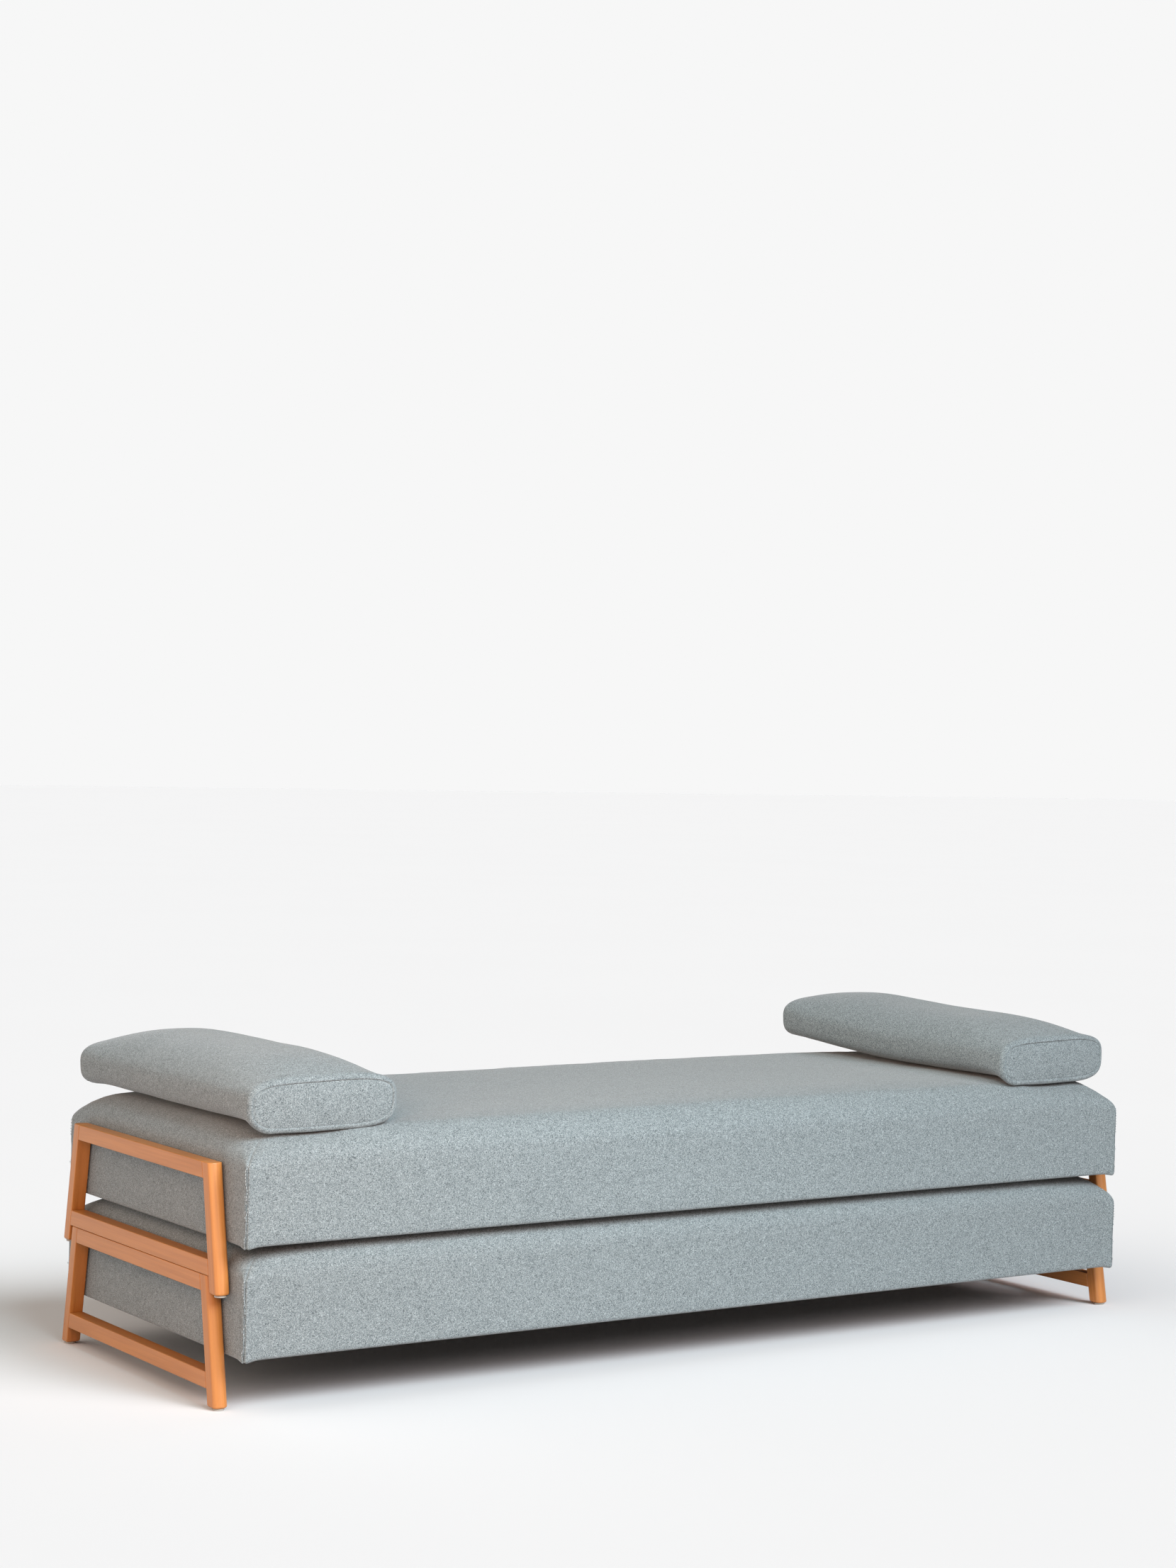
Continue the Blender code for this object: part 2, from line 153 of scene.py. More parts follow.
class DayBedUndersideSettings(PropertyGroup):
    staple_pitch: metres("Staple Pitch", "From one staple to the next", 0.060)
    staple_crown: metres("Staple Crown", "Width of a staple", 0.010)
    staple_inset: metres("Staple Inset", "From the lining's edge to the staples", 0.0035)
    sag: metres("Sag", "How far the lining hangs between the rails", 0.0012)


class DayBedStageSettings(PropertyGroup):
    backdrop: amount("Backdrop", "Brightness of the backdrop", 0.930)
    key: amount("Key", "Strength of the two main lights", 1.0)
    sky: amount("Sky", "Strength of the light from all round", 1.0)
    panel: amount("Panel", "Power of each softbox", 30.0, unit="POWER")
    floor_color: paint("Floor", "Floor paint", "#FFFCFC")


class DayBedSettings(PropertyGroup):
    cover: PointerProperty(type=DayBedCoverSettings)
    cushion: PointerProperty(type=DayBedCushionSettings)
    stitch: PointerProperty(type=DayBedStitchSettings)
    wood: PointerProperty(type=DayBedWoodSettings)
    underside: PointerProperty(type=DayBedUndersideSettings)
    stage: PointerProperty(type=DayBedStageSettings)


# ---- Materials ----

def add_node(tree, kind, inputs=None, **settings):
    """Add a node, set its properties, and set or link its inputs."""
    node = tree.nodes.new(kind)
    for name, value in settings.items():
        setattr(node, name, value)
    for name, value in (inputs or {}).items():
        if isinstance(value, bpy.types.NodeSocket):
            tree.links.new(value, node.inputs[name])
        else:
            node.inputs[name].default_value = value
    return node


def principled(name, **inputs):
    """New material; returns it with its tree and its Principled shader."""
    material = bpy.data.materials.new(name)
    material.use_nodes = True
    tree = material.node_tree
    shader = tree.nodes["Principled BSDF"]
    for key, value in inputs.items():
        shader.inputs[key.replace("_", " ")].default_value = value
    return material, tree, shader


def rgba(color):
    return (*color, 1.0)


def ramp(tree, factor, stops):
    """Colour ramp through (position, linear colour) stops."""
    node = add_node(tree, "ShaderNodeValToRGB", {"Fac": factor})
    elements = node.color_ramp.elements
    while len(elements) < len(stops):
        elements.new(0.5)
    for element, (position, color) in zip(elements, stops):
        element.position = position
        element.color = rgba(color)
    return node.outputs["Color"]


def felt_material(settings):
    """Felted wool melange, woven and fulled: matt, with undyed and charcoal fibres in a cool grey."""
    # single fibres are far too fine to show, so the flecks are drawn as tufts a little under 1 mm across
    material, tree, shader = principled("wool_melange_felted", Roughness=0.92, Sheen_Weight=0.22,
                                        Sheen_Roughness=0.5, Specular_IOR_Level=0.2)
    place = add_node(tree, "ShaderNodeTexCoord").outputs["Object"]
    tufts = []
    for name, size, stretch in (("warp", 0.86 * MM, (1.0, 1.0, 0.62)), ("weft", 0.74 * MM, (0.55, 0.55, 1.0))):
        turned = add_node(tree, "ShaderNodeMapping", {"Vector": place, "Scale": stretch}, name=name)
        cells = add_node(tree, "ShaderNodeTexVoronoi", {"Vector": turned.outputs["Vector"], "Scale": 1 / size,
                                                        "Randomness": 1.0})
        tufts.append(add_node(tree, "ShaderNodeSeparateXYZ", {"Vector": cells.outputs["Color"]}).outputs["X"])
    pair = add_node(tree, "ShaderNodeMix", {"Factor": 0.5, "A": tufts[0], "B": tufts[1]},
                    data_type="FLOAT").outputs["Result"]
    cloud = add_node(tree, "ShaderNodeTexNoise", {"Vector": place, "Scale": 1 / (9 * MM), "Detail": 3.0})
    flecks = add_node(tree, "ShaderNodeMix", {"Factor": 0.16, "A": pair, "B": cloud.outputs["Fac"]},
                      data_type="FLOAT").outputs["Result"]
    color = ramp(tree, flecks, [(0.14, settings.dark_fleck), (0.46, settings.cloth_color),
                                (0.56, settings.cloth_color), (0.86, settings.light_fleck)])
    tree.links.new(color, shader.inputs["Base Color"])
    fuzz = add_node(tree, "ShaderNodeTexNoise", {"Vector": place, "Scale": 1 / (1.1 * MM), "Detail": 2.0})
    bump = add_node(tree, "ShaderNodeBump", {"Height": fuzz.outputs["Fac"], "Strength": 0.5,
                                             "Distance": 0.22 * MM})
    tree.links.new(bump.outputs["Normal"], shader.inputs["Normal"])
    return material


def beech_material(settings):
    """Steamed beech, stained and sprayed with satin lacquer: fine grain, short ray flecks, soft gloss."""
    material, tree, shader = principled("beech_satin_lacquer", Roughness=0.44, Coat_Weight=0.30,
                                        Coat_Roughness=0.28)
    grain = add_node(tree, "ShaderNodeAttribute", attribute_name="grain").outputs["Vector"]
    along = add_node(tree, "ShaderNodeMapping", {"Vector": grain, "Scale": (1.0, 1.0, 0.03)})
    rings = add_node(tree, "ShaderNodeTexNoise", {"Vector": along.outputs["Vector"], "Scale": 1 / (7 * MM),
                                                  "Detail": 5.0, "Roughness": 0.6, "Distortion": 0.3})
    short = add_node(tree, "ShaderNodeMapping", {"Vector": grain, "Scale": (1.0, 1.0, 0.22)})
    rays = add_node(tree, "ShaderNodeTexNoise", {"Vector": short.outputs["Vector"], "Scale": 1 / (1.1 * MM),
                                                 "Detail": 1.0})
    body = ramp(tree, rings.outputs["Fac"], [(0.34, settings.beech_dark), (0.60, settings.beech)])
    flecks = ramp(tree, rays.outputs["Fac"], [(0.60, (0.0, 0.0, 0.0)), (0.72, (0.35, 0.35, 0.35))])
    color = add_node(tree, "ShaderNodeMix", {"A": body, "B": rgba(settings.beech_dark)},
                     data_type="RGBA", name="ray_flecks")
    tree.links.new(flecks, color.inputs["Factor"])
    tree.links.new(color.outputs["Result"], shader.inputs["Base Color"])
    bump = add_node(tree, "ShaderNodeBump", {"Height": rings.outputs["Fac"], "Strength": 0.12,
                                             "Distance": 0.3 * MM})
    tree.links.new(bump.outputs["Normal"], shader.inputs["Normal"])
    return material


def pine_material(settings, axis):
    """Sawn pine with its grain along one axis: broad dull bands and a rough surface."""
    material, tree, shader = principled(f"pine_sawn_along_{axis}", Roughness=0.75)
    place = add_node(tree, "ShaderNodeTexCoord").outputs["Object"]
    stretch = (0.04, 1.0, 1.0) if axis == "x" else (1.0, 0.04, 1.0)
    along = add_node(tree, "ShaderNodeMapping", {"Vector": place, "Scale": stretch}).outputs["Vector"]
    bands = add_node(tree, "ShaderNodeTexNoise", {"Vector": along, "Scale": 1 / (9 * MM), "Detail": 4.0,
                                                  "Distortion": 0.8}).outputs["Fac"]
    color = ramp(tree, bands, [(0.40, settings.pine_dark), (0.56, settings.pine)])
    tree.links.new(color, shader.inputs["Base Color"])
    saw = add_node(tree, "ShaderNodeTexNoise", {"Vector": place, "Scale": 1 / (1.5 * MM)}).outputs["Fac"]
    bump = add_node(tree, "ShaderNodeBump", {"Height": saw, "Strength": 0.3, "Distance": 0.4 * MM})
    tree.links.new(bump.outputs["Normal"], shader.inputs["Normal"])
    return material


def foam_material():
    """Cut polyurethane foam: pale yellow, with open cells about a millimetre across, darkened in their hollows
    as painted shade.
    """
    material, tree, shader = principled("polyurethane_foam_cut", Roughness=0.95)
    place = add_node(tree, "ShaderNodeTexCoord").outputs["Object"]
    cells = add_node(tree, "ShaderNodeTexVoronoi", {"Vector": place, "Scale": 1 / (1.4 * MM)})
    # darker towards each cell's middle, where the bump sinks: painted shade in the open cells' hollows
    color = ramp(tree, cells.outputs["Distance"], [(0.0, linear("#C9BC8C")), (0.5, linear("#EDE3BC"))])
    tree.links.new(color, shader.inputs["Base Color"])
    bump = add_node(tree, "ShaderNodeBump", {"Height": cells.outputs["Distance"], "Strength": 0.4,
                                             "Distance": 0.5 * MM})
    tree.links.new(bump.outputs["Normal"], shader.inputs["Normal"])
    return material


def lining_material():
    """Spunbond polypropylene: thin black non-woven cloth with a grid of pressed points."""
    material, tree, shader = principled("polypropylene_spunbond", Roughness=0.78, Specular_IOR_Level=0.3)
    place = add_node(tree, "ShaderNodeTexCoord").outputs["Object"]
    points = add_node(tree, "ShaderNodeTexVoronoi", {"Vector": place, "Scale": 1 / (2.2 * MM),
                                                     "Randomness": 0.15}).outputs["Distance"]
    hairs = add_node(tree, "ShaderNodeTexNoise", {"Vector": place, "Scale": 1 / (0.9 * MM),
                                                  "Detail": 3.0}).outputs["Fac"]
    color = ramp(tree, hairs, [(0.35, linear("#15171A")), (0.70, linear("#2C2F33"))])
    tree.links.new(color, shader.inputs["Base Color"])
    bump = add_node(tree, "ShaderNodeBump", {"Height": points, "Strength": 0.5, "Distance": 0.3 * MM})
    tree.links.new(bump.outputs["Normal"], shader.inputs["Normal"])
    return material


def steel_material():
    """Zinc-plated steel: pale grey metal with cloudy passivation."""
    material, tree, shader = principled("steel_zinc_plated", Metallic=1.0)
    place = add_node(tree, "ShaderNodeTexCoord").outputs["Object"]
    cloud = add_node(tree, "ShaderNodeTexNoise", {"Vector": place, "Scale": 1 / (3 * MM),
                                                  "Detail": 2.0}).outputs["Fac"]
    color = ramp(tree, cloud, [(0.3, linear("#A9ADAE")), (0.7, linear("#D2D4D3"))])
    tree.links.new(color, shader.inputs["Base Color"])
    gloss = add_node(tree, "ShaderNodeMapRange", {"Value": cloud, "To Min": 0.28, "To Max": 0.42})
    tree.links.new(gloss.outputs["Result"], shader.inputs["Roughness"])
    return material


def glide_material():
    """Moulded polyethylene: warm mid grey, slightly waxy, with a fine moulded grain."""
    material, tree, shader = principled("polyethylene_moulded", Roughness=0.45)
    place = add_node(tree, "ShaderNodeTexCoord").outputs["Object"]
    grain = add_node(tree, "ShaderNodeTexNoise", {"Vector": place, "Scale": 1 / (0.5 * MM)}).outputs["Fac"]
    color = ramp(tree, grain, [(0.3, linear("#8E8A83")), (0.7, linear("#A5A19A"))])
    tree.links.new(color, shader.inputs["Base Color"])
    bump = add_node(tree, "ShaderNodeBump", {"Height": grain, "Strength": 0.15, "Distance": 0.1 * MM})
    tree.links.new(bump.outputs["Normal"], shader.inputs["Normal"])
    return material


def thread_material(settings):
    """Spun polyester sewing thread: pale, with a twist that breaks up its soft shine."""
    material, tree, shader = principled("polyester_thread_spun", Roughness=0.7, Sheen_Weight=0.2)
    place = add_node(tree, "ShaderNodeTexCoord").outputs["Object"]
    twist = add_node(tree, "ShaderNodeTexNoise", {"Vector": place, "Scale": 1 / (0.6 * MM)}).outputs["Fac"]
    dark = tuple(c * 0.72 for c in settings.thread_color)
    tree.links.new(ramp(tree, twist, [(0.35, dark), (0.65, settings.thread_color)]),
                   shader.inputs["Base Color"])
    return material


# ---- Meshes ----

def add_object(name, data):
    """New object at the origin, linked to the scene."""
    thing = bpy.data.objects.new(name, data)
    bpy.context.scene.collection.objects.link(thing)
    return thing


def mesh_piece(name, vertices, faces, material, smooth=True):
    """Object at the origin with its place in its mesh."""
    mesh = bpy.data.meshes.new(name)
    mesh.from_pydata([tuple(v) for v in vertices], [], faces)
    if smooth:
        mesh.shade_smooth()
    if material:
        mesh.materials.append(material)
    return add_object(name, mesh)


def tidy_mesh(piece, merge=0.01 * MM):
    """Merge doubles and point all faces outwards."""
    bm = bmesh.new()
    bm.from_mesh(piece.data)
    bmesh.ops.remove_doubles(bm, verts=bm.verts, dist=merge)
    bmesh.ops.recalc_face_normals(bm, faces=bm.faces)
    bm.to_mesh(piece.data)
    bm.free()
    return piece


def grid_faces(rows, columns):
    """Quads between neighbouring closed rings whose points are numbered ring by ring."""
    faces = []
    for i in range(rows - 1):
        for j in range(columns):
            k = (j + 1) % columns
            faces.append((i * columns + j, i * columns + k, (i + 1) * columns + k, (i + 1) * columns + j))
    return faces


def point_normals(vertices, faces):
    """Vertex normals of a mesh that isn't linked to the scene."""
    mesh = bpy.data.meshes.new("normals")
    mesh.from_pydata([tuple(v) for v in vertices], [], faces)
    normals = np.zeros(len(vertices) * 3, np.float32)
    mesh.vertex_normals.foreach_get("vector", normals)
    bpy.data.meshes.remove(mesh)
    return normals.reshape(-1, 3).astype(float)


def inflate(name, vertices, faces, pins, pressure, frames=20):
    """Blow a cloth shell up with the pinned points held, and return how far each point moved."""
    shell = mesh_piece(name, vertices, faces, None)
    held = shell.vertex_groups.new(name="held")
    for i in np.flatnonzero(pins > 0):
        held.add([int(i)], float(pins[i]), "REPLACE")
    cloth = shell.modifiers.new("Cloth", "CLOTH")
    cloth.settings.vertex_group_mass = "held"
    cloth.settings.use_pressure = True
    cloth.settings.uniform_pressure_force = pressure
    cloth.settings.tension_stiffness = 30.0
    cloth.settings.compression_stiffness = 30.0
    cloth.settings.shear_stiffness = 12.0
    cloth.settings.bending_stiffness = 4.0
    cloth.settings.quality = 6
    cloth.settings.effector_weights.gravity = 0.0
    cloth.collision_settings.use_collision = False
    cloth.point_cache.frame_start = 1
    cloth.point_cache.frame_end = frames
    scene = bpy.context.scene
    for number in range(1, frames + 1):
        scene.frame_set(number)
    blown = shell.evaluated_get(bpy.context.evaluated_depsgraph_get()).to_mesh()
    moved = np.zeros(len(vertices) * 3, np.float32)
    blown.vertices.foreach_get("co", moved)
    scene.frame_set(1)
    mesh = shell.data
    bpy.data.objects.remove(shell, do_unlink=True)
    bpy.data.meshes.remove(mesh)
    return moved.reshape(-1, 3).astype(float) - vertices


def soft_cap(shift, most):
    """Shorten each move so that none is longer than most, smoothly."""
    size = np.linalg.norm(shift, axis=1, keepdims=True)
    return shift * (most / (most + size))


def carry(points, rest, shift, near=6):
    """Moves of fine points from those of a coarse mesh close by."""
    tree = KDTree(len(rest))
    for i, point in enumerate(rest):
        tree.insert(point, i)
    tree.balance()
    moves = np.zeros((len(points), 3))
    for i, point in enumerate(points):
        found = tree.find_n(point, near)
        weights = np.array([1 / (distance ** 2 + 1e-5) for _, _, distance in found])
        moves[i] = weights @ shift[[index for _, index, _ in found]] / weights.sum()
    return moves


def ripples(points, normals, height, size, seed):
    """Slow unevenness of cloth over foam, as moves along the normals."""
    offset = Vector((seed * 7.3, seed * 3.1, seed * 5.7))
    values = [noise.noise(Vector(point) / size + offset) for point in points]
    return normals * (np.array(values)[:, None] * height)


def smoothstep(low, high, value):
    t = np.clip((value - low) / (high - low), 0, 1)
    return t * t * (3 - 2 * t)


# ---- Bed covers ----

# Points along a ring's long side, short side and corner, and rings on the hem, bottom round, side,
# top round and top
FINE_COVER, FINE_COVER_ROWS = (128, 46, 16), (3, 5, 12, 14, 20)
COARSE_COVER = (80, 30, 6)


def outline(half_x, half_y, radius, counts):
    """Round-cornered rectangle, counter-clockwise from the +X side, denser at the corners' middles.

    Returns the points and, for each, its distance along the arc from the nearest corner's middle.
    """
    long_count, short_count, corner_count = counts
    step = np.linspace(-1, 1, corner_count + 1)
    bend = np.sign(step) * np.abs(step) ** 1.7 * math.pi / 4
    corners = ((1, 1), (-1, 1), (-1, -1), (1, -1))
    points, away = [], []
    for quarter, (sx, sy) in enumerate(corners):
        angle = math.pi / 4 * (1 + 2 * quarter) + bend
        points.append(np.stack([sx * (half_x - radius) + radius * np.cos(angle),
                                sy * (half_y - radius) + radius * np.sin(angle)], 1))
        away.append(np.abs(bend) * radius)
        nx, ny = corners[(quarter + 1) % 4]
        count = long_count if quarter % 2 == 0 else short_count
        next_angle = math.pi / 4 * (1 + 2 * (quarter + 1)) - math.pi / 4
        start = points[-1][-1]
        end = np.array([nx * (half_x - radius) + radius * math.cos(next_angle),
                        ny * (half_y - radius) + radius * math.sin(next_angle)])
        share = np.linspace(0, 1, count + 1)[1:-1, None]
        run = start + (end - start) * share
        points.append(run)
        reach = radius * math.pi / 4
        span = np.linalg.norm(end - start)
        away.append(reach + np.minimum(share[:, 0], 1 - share[:, 0]) * span)
    return np.concatenate(points), np.concatenate(away)


def cover_skin(low, high, settings, counts, rows, inset=0.0):
    """Rings of an upholstered box from its hem to the middle of its top.

    rows gives the number of rings on the hem, bottom round, side, top round and top.
    Returns points[ring, place, 3], the distance to the nearest corner seam, and the seam's weight.
    """
    half_x = (high[0] - low[0]) / 2 - inset
    half_y = (high[1] - low[1]) / 2 - inset
    bottom, top = low[2] + inset, high[2] - inset
    bottom_round = max(settings.bottom_round - inset, 0.002)
    top_round = settings.top_round - inset
    side_corner = max(settings.corner_round - inset, 0.003)
    top_corner = settings.corner_top_round - inset
    hem_rows, bottom_rows, side_rows, top_rows, flat_rows = rows
    plan = []
    for i in range(hem_rows):
        shrink = settings.hem - inset + (bottom_round - settings.hem + inset) * i / hem_rows
        plan.append((shrink, bottom, side_corner / 2, 0.3))
    for i in range(bottom_rows):
        angle = math.pi / 2 * i / bottom_rows
        plan.append((bottom_round * (1 - math.sin(angle)), bottom + bottom_round * (1 - math.cos(angle)),
                     side_corner, 0.6))
    for i in range(side_rows):
        z = bottom + bottom_round + (top - top_round - bottom - bottom_round) * i / side_rows
        plan.append((0.0, z, side_corner, 1.0))
    for i in range(top_rows):
        angle = math.pi / 2 * i / top_rows
        corner = side_corner + (top_corner - side_corner) * math.sin(angle) ** 1.5
        plan.append((top_round * (1 - math.cos(angle)), top - top_round * (1 - math.sin(angle)), corner,
                     1.0 - 0.9 * (i / top_rows) ** 3))
    last = half_y - 0.006
    for i in range(flat_rows):
        share = (i / (flat_rows - 1)) ** 1.35
        shrink = top_round + (last - top_round) * share
        plan.append((shrink, top, min(top_corner * (1 - share) + 0.002, half_y - shrink - 0.002), 0.0))
    rings, away, weight = [], [], []
    for shrink, z, corner, seam in plan:
        points, distance = outline(half_x - shrink, half_y - shrink, corner, counts)
        rings.append(np.column_stack([points, np.full(len(points), z)]))
        away.append(distance)
        weight.append(np.full(len(points), seam))
    skin = np.array(rings)
    height = (skin[..., 2] - bottom) / (top - bottom)
    # the bottom edge is drawn in, and the top sinks towards its corners
    draw = settings.waist * (1 - smoothstep(0.0, 0.75, height))
    skin[..., 0] -= np.sign(skin[..., 0]) * draw * 0.4 * smoothstep(0.0, half_x, np.abs(skin[..., 0]))
    skin[..., 1] -= np.sign(skin[..., 1]) * draw * smoothstep(0.0, half_y, np.abs(skin[..., 1]))
    end_gap = half_x - np.abs(skin[..., 0])
    side_gap = half_y - np.abs(skin[..., 1])
    corner_reach, end_reach, side_reach = 0.11, 0.09, 0.06
    sink = np.exp(-(end_gap / corner_reach) ** 2 - (side_gap / corner_reach) ** 2)
    sink += 0.25 * np.exp(-(end_gap / end_reach) ** 2) + 0.30 * np.exp(-(side_gap / side_reach) ** 2)
    skin[..., 2] -= settings.corner_drop * sink * height ** 3
    # the sewn edges hang a little below the base, most of all at the corners
    tip_reach, edge_reach = 17 * MM, 12 * MM
    tip = np.exp(-(end_gap / tip_reach) ** 2 - (side_gap / tip_reach) ** 2)
    edge = np.exp(-(np.minimum(end_gap, side_gap) / edge_reach) ** 2) * (1 - np.clip(height, 0, 1)) ** 5
    skin[..., 2] -= edge * (settings.edge_sag + settings.tip_sag * tip)
    return skin, np.array(away), np.array(weight)


def close_top(rows, counts):
    """Faces that close the slit left by the last ring, by joining its front half to its back half."""
    long_count, short_count, corner_count = counts
    columns = 4 * (corner_count + 1) + 2 * (long_count - 1) + 2 * (short_count - 1)
    base = (rows - 1) * columns
    half = columns // 2
    start = columns - short_count // 2
    back = [base + (start + i) % columns for i in range(half + 1)]
    front = [base + (start - i) % columns for i in range(half + 1)]
    faces = [(back[0], back[1], front[1])]
    for i in range(1, half - 1):
        faces.append((back[i], back[i + 1], front[i + 1], front[i]))
    faces.append((back[half - 1], back[half], front[half - 1]))
    return faces


def cover_swell(low, high, settings):
    """Moves of a coarse cover that the foam pushes out, as rest points and shifts."""
    counts = COARSE_COVER
    skin, _, _ = cover_skin(low, high, settings, counts, (2, 2, 7, 5, 14))
    faces = grid_faces(skin.shape[0], skin.shape[1]) + close_top(skin.shape[0], counts)
    rest = skin.reshape(-1, 3)
    pins = 1 - smoothstep(0.0, 0.010, rest[:, 2] - low[2])
    shift = inflate("cover_shell", rest, faces, pins, settings.pressure)
    caps = np.array([settings.end_swell, settings.side_swell, settings.top_swell])
    return rest, caps * shift / (caps + np.abs(shift)), low[2]


def pressed(shift, unit):
    """The lower bed's top stays nearly flat, clear of the upper bed's underside."""
    return shift * [1.0, 1.0, 0.25] if unit == "lower" else shift


def crown(points, low, high, unit, settings):
    """Rise of the upper bed's top, highest to the right of its middle, where nobody has sat on it."""
    middle, reach = 0.35, 0.55
    if unit == "lower":
        return 0.0
    height = np.clip((points[:, 2] - low[2]) / (high[2] - low[2]), 0, 1)
    across = 1 - np.clip(np.abs(points[:, 1]) / high[1], 0, 1) ** 6
    return settings.crown * np.exp(-((points[:, 0] - middle) / reach) ** 2) * across * height ** 6


def make_cover(unit, low, high, swell, settings, material, seed):
    """Fabric cover of one bed, with a valley along each corner seam."""
    counts, rows = FINE_COVER, FINE_COVER_ROWS
    skin, away, weight = cover_skin(low, high, settings, counts, rows)
    faces = grid_faces(skin.shape[0], skin.shape[1]) + close_top(skin.shape[0], counts)
    points = skin.reshape(-1, 3)
    rest, shift, bottom = swell
    points = points + carry(points, rest + [0, 0, low[2] - bottom], pressed(shift, unit))
    points[:, 2] += crown(points, low, high, unit, settings)
    normals = point_normals(points, faces)
    distance, weight = away.reshape(-1), weight.reshape(-1)
    free = smoothstep(0.0, 0.02, points[:, 2] - low[2])[:, None]
    points = points + ripples(points, normals, settings.ripple, 0.11, seed) * free
    points = points + ripples(points, normals, settings.ripple * 0.45, 0.035, seed + 5) * free
    valley = np.exp(-(distance / settings.seam_width) ** 2)
    shoulder = 0.35 * np.exp(-((distance - 3 * settings.seam_width) / (1.6 * settings.seam_width)) ** 2)
    points = points + normals * (settings.seam_depth * weight * (shoulder - valley))[:, None]
    cover = mesh_piece(f"{unit}_bed_cover", points, faces, material)
    wall = cover.modifiers.new("Cloth", "SOLIDIFY")
    wall.thickness = settings.wall
    wall.offset = -1.0
    seams = seam_paths(points.reshape(skin.shape), normals.reshape(skin.shape), counts, rows)
    return cover, seams


def seam_paths(skin, normals, counts, rows):
    """For each corner, the points and normals up its seam and the direction across it."""
    long_count, short_count, corner_count = counts
    hem_rows, bottom_rows, side_rows, top_rows, _ = rows
    first = hem_rows + 1
    last = hem_rows + bottom_rows + side_rows + top_rows
    column = corner_count // 2
    paths = []
    for quarter in range(4):
        along = skin[first:last, column]
        across = skin[first:last, column + 1] - skin[first:last, column - 1]
        paths.append((along, normals[first:last, column], across / np.linalg.norm(across, axis=1)[:, None]))
        column += corner_count + (long_count if quarter % 2 == 0 else short_count)
    return paths


def make_foam(unit, low, high, swell, settings, material):
    """Foam block just inside the cover, hollow underneath for the wooden base."""
    counts = COARSE_COVER
    skin, _, _ = cover_skin(low, high, settings, counts, (2, 2, 7, 6, 12), settings.wall + 0.6 * MM)
    columns = skin.shape[1]
    rest, shift, bottom = swell
    points = skin.reshape(-1, 3)
    points = points + carry(points, rest + [0, 0, low[2] - bottom], pressed(shift, unit) * 0.9)
    points[:, 2] += crown(points, low, high, unit, settings)
    outer = points.reshape(skin.shape)[2:]
    (_, front, rail_bottom), (rail_end, _, _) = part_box(f"{unit}_base_rail_front")
    slat_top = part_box(f"{unit}_slat_1")[1][2] + 0.3 * MM
    hollow = []
    for z in (slat_top, rail_bottom + 0.5 * MM):
        ring, _ = outline(rail_end + 0.5 * MM, 0.5 * MM - front, 0.3 * MM, counts)
        hollow.append(np.column_stack([ring, np.full(columns, z)]))
    rings = np.concatenate([np.array(hollow), outer])
    faces = grid_faces(rings.shape[0], columns) + close_top(rings.shape[0], counts)
    faces.append(tuple(range(columns))[::-1])
    return tidy_mesh(mesh_piece(f"{unit}_foam", rings.reshape(-1, 3), faces, material))


# ---- Cushions ----

# Points round a cushion's section, and sections between its end panels
FINE_CUSHION = (168, 60)
COARSE_CUSHION = (64, 44)


def cushion_section(half_x, half_z, crown, settings, count):
    """Evenly spaced points (x, z) round a bullnosed slab with a crowned top, centred on its edge."""
    angle = np.linspace(0, 2 * math.pi, 1601)
    c, s = np.cos(angle), np.sin(angle)
    x = half_x * np.sign(c) * np.abs(c) ** settings.side_power
    dome = 1 - np.abs(x / half_x) ** settings.dome_power
    rise = np.abs(s) ** settings.edge_power
    z = np.where(s >= 0, rise * (half_z + crown * dome), -rise * half_z)
    run = np.concatenate([[0], np.cumsum(np.hypot(np.diff(x), np.diff(z)))])
    wanted = np.linspace(0, run[-1], count + 1)[:-1]
    return np.interp(wanted, run, x), np.interp(wanted, run, z)


def cushion_droop(x, y, middle, half, settings):
    """How far the underside's front edge, and most of all its left corner, hangs below the seat."""
    overhang, corner_place, corner_reach = 30 * MM, 34 * MM, 19 * MM
    front = smoothstep(half[1] - overhang, half[1], middle[1] - y)
    corner = np.exp(-((x - middle[0] + half[0] - corner_place) / corner_reach) ** 2)
    return front * settings.droop * (1 + 0.4 * corner)


